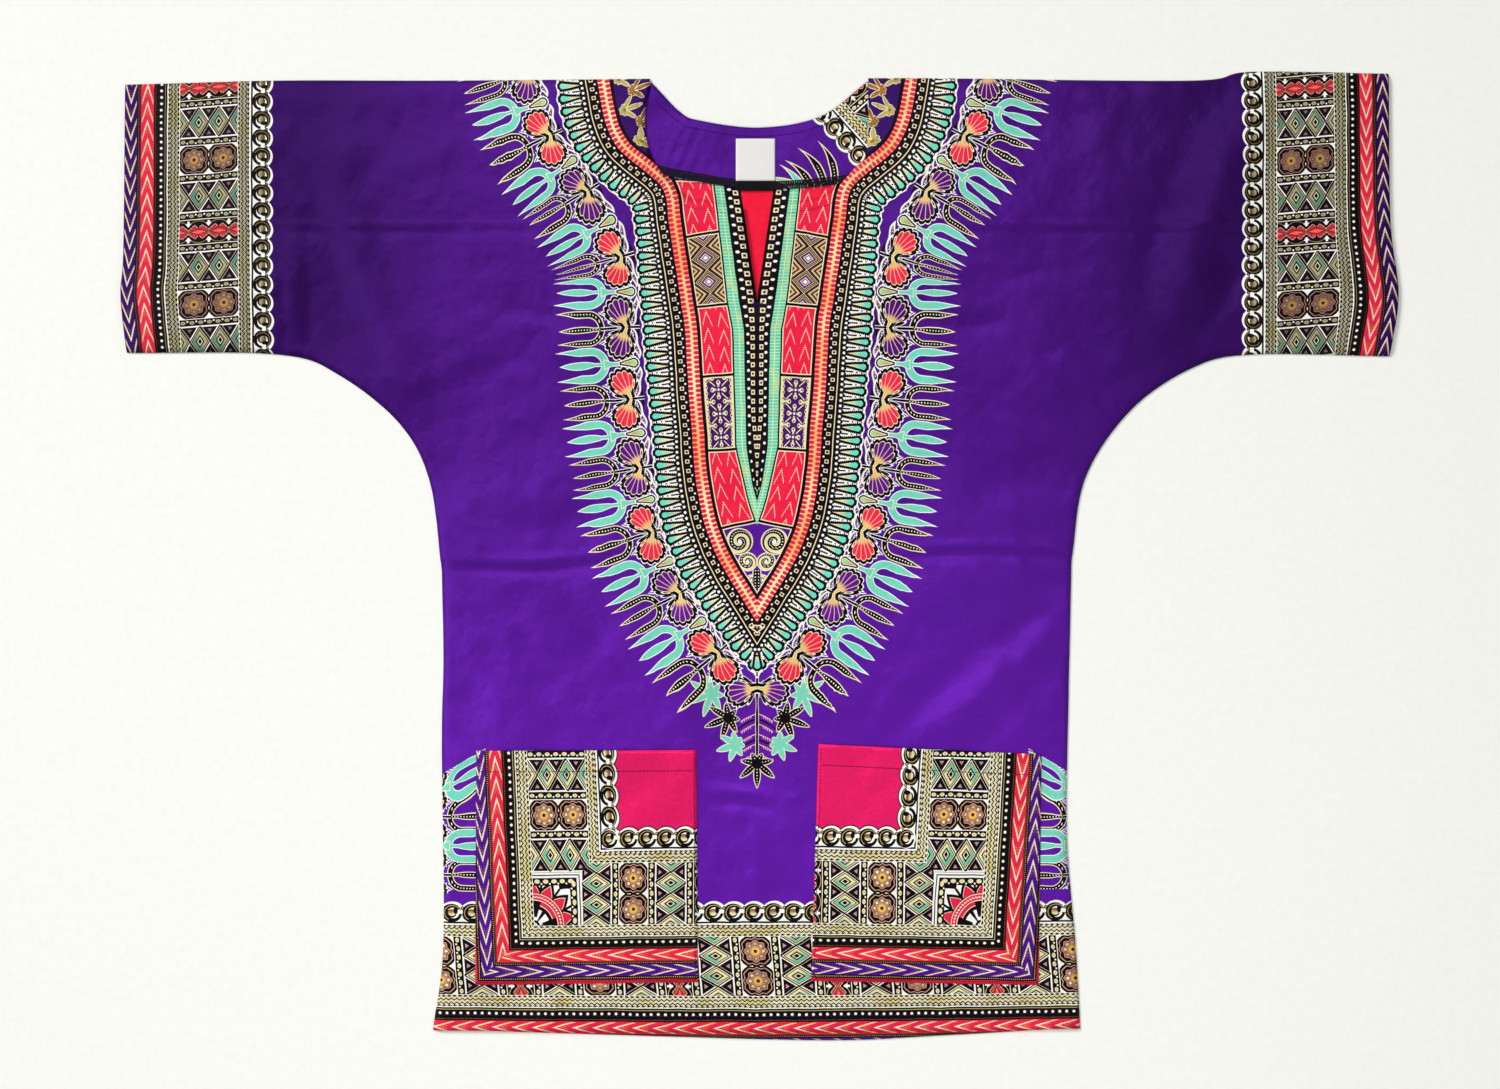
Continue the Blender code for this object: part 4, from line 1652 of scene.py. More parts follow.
@dataclass
class BorderPrint:
    """The border: two rows of chevrons, beads, braids, a band of figures and a row of scrolls.

    Its ruler gives the length u along the edge, the distance e in from it and the length c from
    the middle of a butterfly. All are in millimetres.
    """

    board: Board
    inner: Ink = PURPLE
    chevron: float = 15.7
    cell: float = 61.95
    across: float = 17.0

    def ended(self, u: Field, e: Field) -> Field:
        """Where the border is over: beyond its last line, and outside the scrolls on it."""
        return (self.board.length(u.repeated(self.chevron), e - 117.2) > 9.9) & (e > 123.4)

    def chevrons(self, u: Field, v: Field, ground: Ink) -> Paint:
        """V shapes that point along u: a toothed bright line, warm in its bend."""
        board = self.board
        paint = Paint(board, ground.colour)
        spread = abs(v)
        climb = (u + spread * 3.15).repeated(self.chevron)
        teeth = (u + spread).folded(0.75)
        inside = spread < 4.85
        inner = climb.between(-7.4, -5.4) & (spread < 1.5) & (u.folded(0.7) > 0.25)
        paint.lay(inner, ORANGE if ground is RED else BRONZE)
        line = (climb > teeth.scaled(1.5, -3.0)) & (climb < 1.4) & inside
        most = 0.8 if ground is RED else 0.4
        warm = (spread * 0.16).scaled(1.0, board.grain(14.0) * 1.1 - 0.8).lesser(most)
        paint.shade(line, board.blend(warm.greater(0.0), CREAM.colour, ORANGE.colour), 0.1)
        return paint

    def beads(self, u: Field, v: Field, pitch: float, radius: float) -> Field:
        """Round beads in a row."""
        return self.board.length(u.repeated(pitch), v) < radius

    def braid(self, u: Field, w: Field) -> Paint:
        """Zigzag lines in black and olive on gold, between edges of slanted black dashes."""
        board = self.board
        zigzag = u.folded(2.1)
        stripes = (w + zigzag * 0.85 + 0.3).folded(1.6)
        bright = board.grain(26.0).eased(0.3, 0.6)
        paint = Paint(board, board.blend(bright, srgb("ebdfa0"), srgb("fffadc")), 0.4)
        paint.lay(stripes > 1.36, LEAF_GOLD)
        paint.lay(stripes < 0.64, BLACK)
        rim = abs(w) - zigzag * 0.5
        paint.lay(rim > 3.6, WHITE)
        dash = (u + abs(w) * 0.9).folded(2.1)
        paint.lay((rim > 2.9) & (dash < 1.25) & (abs(w) < 4.8), BLACK)
        return paint

    def diamonds(self, v: Field, y: Field) -> Paint:
        """Nested diamonds with triangles between them; y is the height from their middle line."""
        board = self.board
        x = (v - 8.5).repeated(self.across)
        ring = abs(x) * (2.0 / self.across) + abs(y) * (1.0 / 12.9)
        paint = Paint(board, WHITE.colour)
        paint.lay((ring > 1.18) & (abs(y) < 12.2), BLACK)
        paint.lay((ring > 1.58) & (abs(y) < 10.4), UMBER)
        shadow = (x * y > 0.0) * 0.1
        paint.lay(ring < shadow + 1.05, BLACK)
        paint.lay(ring < 0.92, STRAW)
        paint.lay(abs(ring - 0.77) < 0.045, BLACK)
        tint = y.scaled(-0.04, 0.0) + x.scaled(-0.09, 0.0) + board.grain(30.0) * 1.3
        inside = board.blend(tint.eased(0.3, 1.0), STRAW.colour, srgb("6cc9ae"))
        paint.shade(ring < 0.7, inside, 0.4)
        paint.lay(ring < 0.45, BLACK)
        paint.lay(ring < 0.3, CREAM)
        paint.lay(ring < 0.2, BLACK)
        return paint

    def rosettes(self, v: Field, y: Field) -> Paint:
        """Two eight-petalled flowers on scalloped black grounds."""
        board = self.board
        x = (v - 12.35).repeated(24.7)
        reach = board.length(x, y)
        turn = board.angle(y, x)
        square = abs(x).greater(abs(y)) * 0.55 + reach * 0.42
        petal = turn.folded(math.pi / 8.0)
        blob = square + turn.folded(math.pi / 12.0) * 4.6
        paint = Paint(board, WHITE.colour)
        paint.lay(blob < 12.9, BLACK)
        paint.lay(blob.between(10.6, 11.2), SAND)
        ring = reach + petal * 4.6
        paint.lay(ring < 9.6, SAND)
        paint.lay(ring < 9.0, PLUM)
        disc = board.length(reach - 6.1, reach * petal)
        glint = board.grain(15.0).eased(0.3, 0.7)
        paint.lay(disc < 2.2, SAND)
        paint.lay(disc < 1.85, PLUM)
        paint.shade(disc < 1.3, board.blend(glint, srgb("cf9264"), srgb("fff0bc")), 0.5)
        glow = board.blend(reach.eased(2.0, 4.4), srgb("f6cf5c"), srgb("c4884a"))
        paint.shade(reach - petal * 2.0 < 3.7, glow, 0.4)
        paint.lay(reach < 1.5, PLUM)
        return paint

    def butterfly(self, v: Field, y: Field) -> Paint:
        """A row of red lenses whose pleated wings meet at gold crossings, with white arrows."""
        board = self.board
        x = abs((v - 8.5).repeated(self.across))
        height = abs(y)
        paint = Paint(board, BLACK.colour)
        arrow = 8.5 - x
        head = (arrow < (height - 4.3) * 0.85) & (height < 7.5)
        paint.lay((head | ((arrow < 1.0) & (height > 5.0))) & (height < 9.3), WHITE)
        wing = 6.2 - abs(x - 3.2) * 0.8
        paint.lay(height < wing, CREAM)
        paint.lay(height < wing - 0.45, RED)
        pleat = board.angle(height, x + 0.6).folded(0.16)
        paint.lay((pleat < 0.028) & (height < wing), BLACK)
        paint.lay((x < height.scaled(0.16, -0.15)) & (height > 2.2) & (height < 9.0), BLACK)
        crossing = abs(height - arrow * 0.62)
        paint.lay((crossing < 0.55) & (x > 2.5) & (height < 3.6), BLACK)
        paint.lay((crossing < 0.22) & (x > 2.5) & (height < 3.6), GOLD)
        lens = height + x * x * 0.045
        paint.lay(lens < 2.35, BLACK)
        paint.shade(lens < 1.9, board.blend(x.eased(0.0, 5.0), srgb("f2553a"), RED.colour), 0.0)
        paint.lay(self.beads(x, y, 1.5, 0.3) & (lens < 1.6), CREAM)
        bow = abs(height - (9.3 - x * x * 0.05))
        paint.lay((bow < 0.28) & (x < 6.0), GOLD)
        return paint

    def bar(self, v: Field, y: Field) -> Paint:
        """A black bar with gold ovals and small white beads between thin lines."""
        board = self.board
        x = v.repeated(7.3)
        paint = Paint(board, BLACK.colour)
        paint.lay(abs(y) > 2.85, WHITE)
        paint.lay(board.length(x * (1.0 / 1.45), y) < 1.45, STRAW)
        paint.lay(board.length(x * 0.5, y) < 0.5, GOLD)
        paint.lay(board.length((v - 3.65).repeated(7.3), y - 1.1) < 0.75, WHITE)
        return paint

    def figures(self, v: Field, c: Field) -> Paint:
        """The main band: butterflies, diamonds and rosettes with bars between."""
        h = c.folded(self.cell)
        paint = self.diamonds(v, h - 30.1)
        paint.over(h > 49.9, self.rosettes(v, (c - self.cell).repeated(2.0 * self.cell)))
        paint.over(h < 10.3, self.butterfly(v, c.repeated(2.0 * self.cell)))
        paint.over(h.between(10.3, 17.2) | h.between(43.0, 49.9), self.bar(v, (h - 13.75).repeated(32.7)))
        return paint

    def scrolls(self, u: Field, e: Field) -> Paint:
        """Hooked rings round gold leaf balls, linked by curls, with a scalloped white edge."""
        board = self.board
        x = u.repeated(15.7)
        y = e - 117.2
        reach = board.length(x, y)
        side = 7.85 - abs(x)
        paint = Paint(board, self.inner.colour)
        if self.inner is not PURPLE:
            paint.lay((reach < 10.9) | (e < 124.4), BLACK)
        paint.lay((reach < 9.9) | (e < 123.4), WHITE)
        link = board.length(side, y + 6.5)
        paint.lay((abs(link - 5.2) < 1.5) & (y > -6.5), LEAF_GOLD)
        paint.lay((abs(link - 5.6) < 0.55) & (y > -6.5), BLACK)
        paint.lay((board.length(side, y - 4.2) < 1.5), BLACK)
        paint.lay(board.length(side, y - 4.2) < 0.75, GOLD)
        self.ring(paint, x, y)
        paint.lay(abs(e - 109.0) < 0.75, BLACK)
        return paint

    def ring(self, paint: Paint, x: Field, y: Field) -> None:
        """One hooked ring: a black hoop that opens on one side, round a gold leaf ball."""
        board = self.board
        reach = board.length(x, y)
        thick = x.scaled(-0.1, 1.4).greater(0.7)
        paint.lay(reach < 7.4, WHITE)
        paint.lay(abs(reach - 6.2) < thick + 0.25, BLACK)
        paint.lay((abs(reach - 6.4) < 0.3) & (x - y < 2.0), LEAF_GOLD)
        opening = (x > 1.0) & (abs(y - 1.2) < 1.7)
        paint.lay(opening & reach.between(4.4, 7.6), WHITE)
        ball = board.length(x + 1.0, y + 0.4)
        paint.lay(ball < 3.7, BLACK)
        fill = board.blend((y + board.grain(9.0) * 4.0).eased(0.0, 4.0), STRAW.colour, BRONZE.colour)
        paint.shade(board.length(x + 0.7, y - 0.3) < 2.9, fill, 0.4)
        leaf = board.length((x - 2.3) * 0.9, (y - 2.2) * 0.5)
        paint.lay(leaf < 1.5, BLACK)

    def lines(self, u: Field, e: Field) -> Paint:
        """Black with broken gold lines and a row of white beads."""
        board = self.board
        paint = Paint(board, BLACK.colour)
        paint.lay(self.beads(u, e - 26.6, 1.5, 0.4), BRONZE)
        paint.lay(self.beads(u, e - 31.4, 5.5, 1.15), WHITE)
        paint.lay(abs(e - 34.7) < 0.32, LEAF_GOLD)
        return paint

    def piping(self, u: Field, e: Field) -> Paint:
        """The black stripe between the chevrons, with a dotted gold line."""
        paint = Paint(self.board, BLACK.colour)
        paint.lay(self.beads(u, e - 12.1, 1.5, 0.32), GOLD)
        paint.lay(abs(e - 13.3) < 0.14, BRONZE)
        return paint

    def paint(self, u: Field, e: Field, c: Field, skew: float = 0.0) -> Paint:
        """The whole border, strip over strip from its inner edge outwards."""
        v = e - 72.05
        paint = self.scrolls(u, e)
        paint.over(abs(v) < 35.2, self.braid(u, abs(v) - 29.97))
        paint.over(abs(v) < 24.7, self.figures(v, c + v * skew))
        paint.over(e < 36.4, self.lines(u, e))
        paint.over(e < 25.1, self.chevrons(-u, e - 19.6, RED))
        paint.over(e < 14.0, self.piping(u, e))
        paint.over(e < 10.8, self.chevrons(u, e - 5.4, PURPLE))
        return paint


@dataclass
class PocketPrint(BorderPrint):
    """The border turned round a pocket's outer lower corner, with a block in the corner."""

    def block(self, paint: Paint, side: Field, low: Field) -> None:
        """The corner block: a winged red figure that bends round, in a frame with gold ovals."""
        board = self.board
        far = side.greater(low)
        inside = (far < 89.5) & (side > 47.4) & (low > 47.4)
        x, y = side - 47.4, low - 47.4
        bend = board.length(x, y)
        turn = board.angle(y, x)
        figure = Paint(board, BLACK.colour)
        height = bend - 23.0
        lobe = turn.folded(math.pi / 14.0)
        spike = height - lobe * 42.0
        figure.lay(spike.between(6.6, 13.5) & (height > 0.0), WHITE)
        figure.lay((height < -9.5) & (turn.folded(math.pi / 7.0) > 0.12), WHITE)
        figure.lay((spike < 3.0) & (height > -6.6), CREAM)
        figure.lay((spike < 2.3) & (height > -6.0), RED)
        pleat = (height > 1.0) & (height < 14.0) & (lobe * bend < 1.0)
        figure.lay(pleat, BLACK)
        inner_wing = (height < -2.5) & (bend > 7.0) & (abs(x - y) > bend * 0.62)
        figure.lay(inner_wing, BLACK)
        figure.lay(abs(height) < 3.4, BLACK)
        figure.lay(abs(height) < 2.9, CREAM)
        figure.lay(abs(height) < 2.2, RED)
        figure.lay(board.length((turn * bend).repeated(2.6), height) < 0.75, WHITE)
        figure.lay((bend < 4.5) & (bend > 2.5), BLACK)
        edge = far - 47.4
        figure.lay(edge > 32.0, BLACK)
        along = side.lesser(low).repeated(7.3)
        figure.lay(board.length(along * 0.69, edge - 35.2) < 1.62, STRAW)
        figure.lay(board.length((side.lesser(low) - 3.65).repeated(7.3), edge - 33.4) < 0.75, WHITE)
        figure.lay(edge > 37.9, WHITE)
        figure.lay(edge.between(39.6, 40.5), BLACK)
        paint.over(inside, figure)

    def pocket(self, side: Field, low: Field, way: Field) -> Paint:
        """The whole pocket, from the distances to its outer side and to its bottom.

        The border turns a mitred corner: the nearer edge rules, and the length runs down the
        side and along the bottom.
        """
        lean = side + low.scaled(0.046, -5.5)
        inward = lean + (lean - 97.0).greater(0.0) * 0.12
        upward = low.scaled(1.07, -6.5).lesser(low.scaled(0.93, 0.6).greater(low - 6.6))
        upright = inward < upward
        level = upright.scaled(-1.0, 1.0)
        e = inward.lesser(upward)
        near = (e > 104.0) * 1.0
        across = (side - near * 115.4) * near.scaled(0.16, 0.82)
        down = (low - near * 123.8) * near.scaled(-0.032, 0.885)
        u = (across * level - down * upright) * way
        c = (side - 73.5) * level + low.scaled(0.9217, -71.8) * upright
        side, low = inward, upward
        paint = self.paint(u, e, c)
        self.block(paint, side, low)
        corner = Paint(self.board, WHITE.colour)
        x, y = (side - 117.2) * way, low - 117.2
        self.ring(corner, x, y)
        paint.over(self.board.length(x, y) < 8.6, corner)
        paint.lay(e < 0.2, BLACK)
        paint.lay(self.beads(u, e + 1.4, 1.5, 0.4), GOLD)
        paint.lay(e < -3.2, RED)
        return paint


@dataclass(frozen=True)
class Sateen:
    """The printed cloth's own finish: warp and weft, slubs, fine creasing, and a sheen in the dye.

    The purple dye reflects in its own colour. On the panels its colour carries painted shade and sheen:
    darker at the top and sleeves, lighter towards the hem, and foil inks darker on the cuffs.
    """

    roughness: float = 0.36
    specular: float = 0.1
    tint: tuple = (0.8, 0.65, 0.8, 1.0)
    sheen: float = 0.32
    weave: float = 0.46
    relief: float = 0.5
    painted_shade_and_sheen: bool = False

    def finish(self, board: Board, paint: Paint) -> bpy.types.Material:
        """Dresses a shader with a print on this cloth."""
        x, y = board.plan()
        shader = board.shader
        slub = board.grain(3.1, 3.0, 0.6)
        shade = slub.scaled(0.3, 0.85)
        _, green, blue = board.split(paint.colour)
        dye = blue - green > 0.1
        sheen = (dye * self.sheen).greater(paint.foil)
        # Painted shade and sheen: the purple is darkened towards the top and sleeves and lightened towards
        # the hem, and foil inks are darkened on the cuffs, standing in for how the light falls.
        if self.painted_shade_and_sheen:
            depth = y.eased(250.0, -250.0).scaled(0.75, 0.83) - abs(x).eased(190.0, 400.0) * 0.45
            cuff_painted_shade = sheen.lesser(0.5) * abs(x).eased(300.0, 420.0)
            shade = shade * board.mixed(dye, cuff_painted_shade.scaled(-1.15, 1.0), depth)
        inputs = {0: as_vector(paint.colour), "Scale": shade}
        dyed = board.node("ShaderNodeVectorMath", {"operation": "SCALE"}, inputs)
        board.plug(shader.inputs["Base Color"], dyed.outputs[0])
        board.plug(shader.inputs["Specular IOR Level"], self.specular)
        board.plug(shader.inputs["Specular Tint"], self.tint)
        board.plug(shader.inputs["Metallic"], sheen)
        board.plug(shader.inputs["Roughness"], green.scaled(0.5, self.roughness) - sheen * 0.1)
        turn = 2.0 * math.pi / self.weave
        threads = (x * turn).wave() * (y * turn).wave()
        rumples = board.grain(30.0, 3.0) * 9.0 + board.grain(105.0) * 36.0
        board.bump(threads * 0.12 + slub * 0.5 + rumples, self.relief, 0.7)
        return board.material


# The panels' cloth, with painted shade and sheen in its colour.
PANEL_CLOTH = Sateen(painted_shade_and_sheen=True)


def as_vector(colour: object) -> object:
    """A colour's three numbers for a vector socket, or a link as it is."""
    return tuple(colour[:3]) if isinstance(colour, tuple) else colour


@dataclass(frozen=True)
class Plain:
    """A stuff of one colour: how rough and glossy it is, and its ribs or grain."""

    code: str
    roughness: float = 0.7
    specular: float = 0.2
    grain: float = 0.8
    rib: float = 0.0
    relief: float = 0.1

    def finish(self, name: str) -> bpy.types.Material:
        """Makes the finish under a name.

        Args:
            name: the material's name.

        Returns:
            The finished material.
        """
        board = Board(name)
        speck = board.grain(self.grain)
        colour = srgb(self.code)
        deep = tuple(0.93 * part for part in colour)
        board.plug(board.shader.inputs["Base Color"], board.blend(speck, deep, colour))
        board.plug(board.shader.inputs["Roughness"], self.roughness)
        board.plug(board.shader.inputs["Specular IOR Level"], self.specular)
        height = speck
        if self.rib > 0.0:
            height = height + (board.plan()[1] * (2.0 * math.pi / self.rib)).wave() * 0.6
        board.bump(height, self.relief)
        return board.material


def ground_finish() -> bpy.types.Material:
    """Plain purple cloth."""
    board = Board("purple_ground")
    return PANEL_CLOTH.finish(board, purple_ground(board))


def purple_ground(board: Board) -> Paint:
    """The purple dye, a little uneven."""
    return Paint(board, board.blend(board.grain(120.0), srgb("4a107f"), srgb("561896")))


def border_finish(name: str, skew: float = 0.075) -> bpy.types.Material:
    """The border's print on a panel, with the ground where it ends.

    Args:
        name: the material's name.
        skew: how far the rows of figures lean.

    Returns:
        The finished material.
    """
    board = Board(name)
    u, e, c = board.ruler("border")
    sway_u, sway_e = board.sway(22.0, 0.3)
    u, e, c = u + sway_u, e + sway_e, c + sway_u
    print_of = BorderPrint(board)
    paint = print_of.paint(u, e, c, skew)
    paint.over(print_of.ended(u, e), purple_ground(board))
    return PANEL_CLOTH.finish(board, paint)


def pocket_finish() -> bpy.types.Material:
    """The pockets' print."""
    board = Board("pocket_print")
    side, low, way = board.ruler("corner")
    sway_side, sway_low = board.sway(22.0, 0.3)
    print_of = PocketPrint(board, HOT_RED)
    return Sateen().finish(board, print_of.pocket(side + sway_side, low + sway_low, way))


# Lines across the panels beside the placket: slope, and height at the axis
LEVELS = ((0.18, 284.3), (0.11, 219.1), (0.07, 156.7), (0.07, 93.0), (0.23, 30.4), (0.0, 323.5))


@dataclass
class NeckPrint:
    """The print round the neck: a pointed frame of bands, drops, flowers and tridents.

    Its rulers give lengths s along its guide lines from the tip and distances d outwards from
    them. All are in millimetres, and both halves mirror each other.
    """

    board: Board
    pitch: float = 59.8
    first: float = 44.7

    def trident(self, paint: Paint, a: Field, b: Field, dark: bool) -> None:
        """Three prongs on a round foot: two follow a U and one is a lens between them."""
        board = self.board
        foot, spread, thick, reach = (21.5, 11.4, 1.9, 55.5) if dark else (20.5, 11.3, 2.6, 57.5)
        up = b - (foot + spread)
        arc = board.length(a, up.lesser(0.0)) - spread
        width = ((reach - b) * 0.16).lesser(thick)
        z = b.scaled(1.0 / 15.5, -(reach - 15.5) / 15.5)
        lens = abs(a) - (z * z).scaled(-thick, thick)
        shape = (abs(arc) - width).lesser(lens)
        shape = shape.lesser((abs(a) - 0.8).greater(abs(b - foot - 6.0) - 6.0))
        paint.lay(shape < 0.85, CREAM if dark else WHITE)
        paint.lay(shape < (0.1 if dark else 0.15), BLACK if dark else TEAL)
        spine = abs(arc).lesser(abs(a))
        if dark:
            paint.lay((board.length(b.repeated(2.6), spine) < 0.55) & (shape < -0.5), WHITE)
        else:
            paint.lay((spine < 0.25) & (shape < -0.8) & (board.grain(3.0) > 0.45), LEAF_GOLD)

    def bud(self, paint: Paint, a: Field, b: Field) -> None:
        """A drop on the mint stem: a round end inwards and a drawn-out end on the stem."""
        board = self.board
        cone = (abs(a) - (b - 15.0).greater(0.0).scaled(0.4, 1.1)).greater(abs(b - 12.0) - 9.0)
        paint.lay(cone < 0.9, CREAM)
        paint.lay(cone < 0.1, TEAL)
        round_end = board.length(a, b + 4.2) - 2.9
        taper = (abs(a) - (7.5 - b) * 0.24).greater(-4.2 - b)
        shape = round_end.lesser(taper.greater(b - 7.0))
        paint.lay(shape < 2.3, WHITE)
        paint.lay(shape < 1.35, BLACK)
        paint.lay(shape < 0.1, CREAM)
        paint.shade(shape < -0.5, board.blend(b.eased(-6.0, 2.0), MINT.colour, LEAF_GOLD.colour), 0.2)

    def flower(self, paint: Paint, p: Field, q: Field, odd: "Field | float") -> None:
        """A fan of five petals; p runs along it from its apex and q across it.

        Its sides widen with the square of p into a round head whose rim is scalloped.
        """
        board = self.board
        reach = board.length(p, q)
        petal = board.angle(q, p).folded(0.112)
        head = board.length(p - 15.4, q) - (petal * petal).scaled(-150.0, 9.8)
        side = (abs(q) - (p * p).scaled(0.024, 0.7)).greater(p - 17.0)
        shape = head.lesser(side) + (p < 0.0) * 30.0
        paint.lay(shape < 4.1, WHITE)
        paint.lay(shape < 3.2, BLACK)
        paint.lay(shape < 0.5, CREAM)
        petals = board.blend(odd, srgb("541880"), srgb("f22c48"))
        deep = board.blend(reach.eased(8.0, 12.5), srgb("edc96a"), petals)
        paint.shade(shape < -0.2, deep, reach.eased(16.0, 7.0) * 0.4)
        seam = ((0.112 - petal) * reach < 0.32) & (reach > 6.0)
        paint.lay(seam & (shape < 0.0), PINK)

    def leaf(self, paint: Paint, a: Field, b: Field) -> None:
        """A waved purple leaf with a bright edge and a row of dots, between flower and drops."""
        board = self.board
        reach = abs(a)
        middle = b + (reach * 0.36).wave() * 0.9 + reach.scaled(0.26, 2.6)
        z = reach.scaled(1.0 / 11.5, -1.0)
        shape = abs(middle) - (z * z).scaled(-2.2, 2.2)
        paint.lay(shape < 1.7, WHITE)
        paint.lay(shape < 0.85, CREAM)
        paint.lay(shape < 0.0, PURPLE)
        paint.lay((board.length(reach.repeated(2.3), middle) < 0.55) & (shape < -0.6), CREAM)
        paint.lay(board.length(a * 0.118, (b + 9.4) * 0.75) < 1.0, BLACK)

    def sparks(self, paint: Paint, a: Field, b: Field) -> None:
        """Rows of white dots and a thin white arc on each side of a flower's stem."""
        reach = abs(a)
        row = abs(reach - b.scaled(0.3, 1.6))
        dots = self.board.length(b.repeated(2.3), row)
        within = b.between(4.5, 21.0)
        paint.lay((dots < 0.55) & within, WHITE)
        arc = abs(reach - (b - 8.0) * (b - 8.0) * 0.02 - 7.5)
        paint.lay((arc < 0.5) & b.between(8.0, 24.0), WHITE)

    def garland(self, paint: Paint, s: Field, d: Field, start: float = 14.8) -> None:
        """Flowers, leaves and tridents along the flower guide, black and mint by turns."""
        a = (s - self.first).repeated(self.pitch)
        t = (s - self.first - self.pitch / 2.0).repeated(self.pitch)
        b = d + (s < start) * 90.0
        c = d + (s < start + 14.9) * 90.0
        self.trident(paint, a, b, True)
        self.trident(paint, t, c, False)
        self.sparks(paint, a, b)
        self.leaf(paint, a, b)
        stem = b.between(-11.0, 22.5)
        paint.lay((abs(a) < 1.5) & stem, WHITE)
        paint.lay((abs(a) < 0.95) & stem, BLACK)
        node = (s - self.first + self.pitch / 2.0) * (1.0 / self.pitch)
        odd = 1.0 - node.floor().folded(1.0)
        reach = abs(a)
        p = reach * 0.914 + b * 0.407 + (b > 80.0) * -100.0
        self.flower(paint, p, b * 0.914 - reach * 0.407, odd)
        self.bud(paint, t, c)

    def drops(self, paint: Paint, s: Field, d: Field, e: Field) -> None:
        """A white ring of teardrops, round ends outwards, with ticks and dots between them."""
        board = self.board
        a = s.repeated(10.6)
        edge = abs(a).scaled(-0.25, 10.0) + board.grain(7.0) * 1.6
        paint.lay((d < edge) & (e > 11.0), WHITE)
        self.drop(paint, a, d)
        between = 5.3 - abs(a)
        paint.lay((between < 0.65) & d.between(-11.0, -3.0), BLACK)
        paint.lay((board.length(between, d.repeated(4.2)) < 0.7) & (abs(d) < 8.2), BLACK)

    def drop(self, paint: Paint, a: Field, d: Field) -> None:
        """One teardrop of mint and straw in a black outline with short hairs."""
        board = self.board
        round_end = board.length(a, d - 4.9) - 2.3
        taper = (abs(a) - (d + 9.6) * 0.155).greater(d - 4.9)
        shape = round_end.lesser(taper)
        hair = d.folded(0.85) * 0.95
        paint.lay(shape < hair + 2.0, BLACK)
        tint = (d * 0.06 + board.grain(24.0) * 1.5).eased(0.2, 1.0)
        paint.shade(shape < 0.1, board.blend(tint, STRAW.colour, TEAL.colour), 0.1)
        paint.lay((abs(shape + 0.15) < 0.25) & (d < 1.0), STRAW)

    def beads(self, paint: Paint, s: Field, e: Field) -> None:
        """The black band outside the red one: squares, dots, a bright line and white beads."""
        board = self.board
        bead = s.repeated(4.5)
        scallop = e + abs(bead) * 0.9
        paint.lay((scallop < 17.0) & (e > -0.2), BLACK)
        paint.lay(board.length(bead, e - 13.5) < 1.2, WHITE)
        box = abs(s.repeated(7.8)).greater(abs(e - 5.2) * 0.9)
        paint.lay(box < 1.6, CREAM)
        paint.lay(box < 0.9, BLACK)
        paint.lay(board.length((s - 3.9).repeated(7.8), e - 2.3) < 0.85, WHITE)
        paint.lay(abs(e - 9.6) < 0.42, CREAM)

    def band(self, paint: Paint, s: Field, d: Field) -> None:
        """The red band: two rows of round-ended red teeth, half a step apart, on a bright ground."""
        board = self.board
        paint.lay(d.between(-8.0, 6.0), BLACK)
        inside = abs(d) < 5.1
        glow = board.blend(board.grain(60.0).eased(0.4, 0.62), srgb("f6b068"), srgb("fbe8b6"))
        paint.shade(inside, glow, 0.1)
        for half, shift in ((d, 0.0), (-d, 2.0)):
            tooth = board.length((s - shift).repeated(4.05), (half - 2.4).lesser(0.0)) < 1.5
            paint.lay(tooth & (half > 0.6) & inside, RED)

    def arrows(self, q: Field, y: Field) -> Paint:
        """Red cloth with two columns of bright toothed arrows."""
        board = self.board
        paint = Paint(board, srgb("f32046"))
        x = (q - 0.5) * 26.0
        leg = abs(abs(x) - 6.9)
        climb = (y + leg * 2.75 - x * 0.1).repeated(14.9)
        teeth = y.folded(0.8) * 1.6 + (y.folded(0.8) < 0.35) * -1.2
        paint.lay((climb < 0.7 + teeth) & (climb > -0.7) & (leg < 4.4), CREAM)
        return paint

    def lozenges(self, q: Field, y: Field) -> Paint:
        """Nested gold and purple diamonds with a white heart, in crossing dark lines."""
        board = self.board
        x = abs(q - 0.5) * 28.0
        rise = abs(y.repeated(20.5))
        ring = x * (1.0 / 13.0) + rise * (1.0 / 10.25)
        paint = Paint(board, srgb("dcbc7c"), 0.3)
        far = (ring - 1.0).folded(0.2)
        paint.lay((far > 0.1) & (ring > 1.12), AUBERGINE)
        paint.lay(abs(ring - 1.0) < 0.14, BLACK)
        paint.lay(abs(ring - 1.0) < 0.03, STRAW)
        paint.lay(ring.between(0.68, 0.8), AUBERGINE)
        paint.lay(ring < 0.6, PURPLE)
        paint.lay(ring.between(0.3, 0.4), STRAW)
        paint.lay(ring < 0.2, WHITE)
        return paint

    def florets(self, q: Field, y: Field) -> Paint:
        """Four-petalled straw flowers on plum in a scalloped frame, with slanted bars."""
        board = self.board
        paint = Paint(board, srgb("4a1670"))
        x = abs(q - 0.5) * 28.0
        up = abs(y.repeated(20.4))
        gap = 10.2 - up
        bar = abs(up - x * 0.82 - 0.4)
        paint.lay((bar < 1.3) & x.between(3.4, 9.8), BLACK)
        paint.lay((bar < 0.6) & x.between(3.4, 9.8), CREAM)
        frame = x + abs(y.repeated(5.1)) * 0.5
        paint.lay(frame > 12.3, STRAW)
        paint.lay(board.length((y - 2.5).repeated(5.1), x - 12.4) < 0.75, PLUM)
        for across, along in ((x, up), (up, x), (gap, 12.4 - x)):
            petal = board.length(across, along - 6.2) - 2.1
            arm = (across - 0.9).greater(along - 6.2)
            shape = petal.lesser(arm)
            paint.lay(shape < 0.0, STRAW)
            paint.lay(board.length(across, along - 6.8) < 0.85, BLACK)
        paint.lay(x + up < 2.9, PURPLE)
        paint.lay(board.length(x, up) < 1.1, WHITE)
        return paint

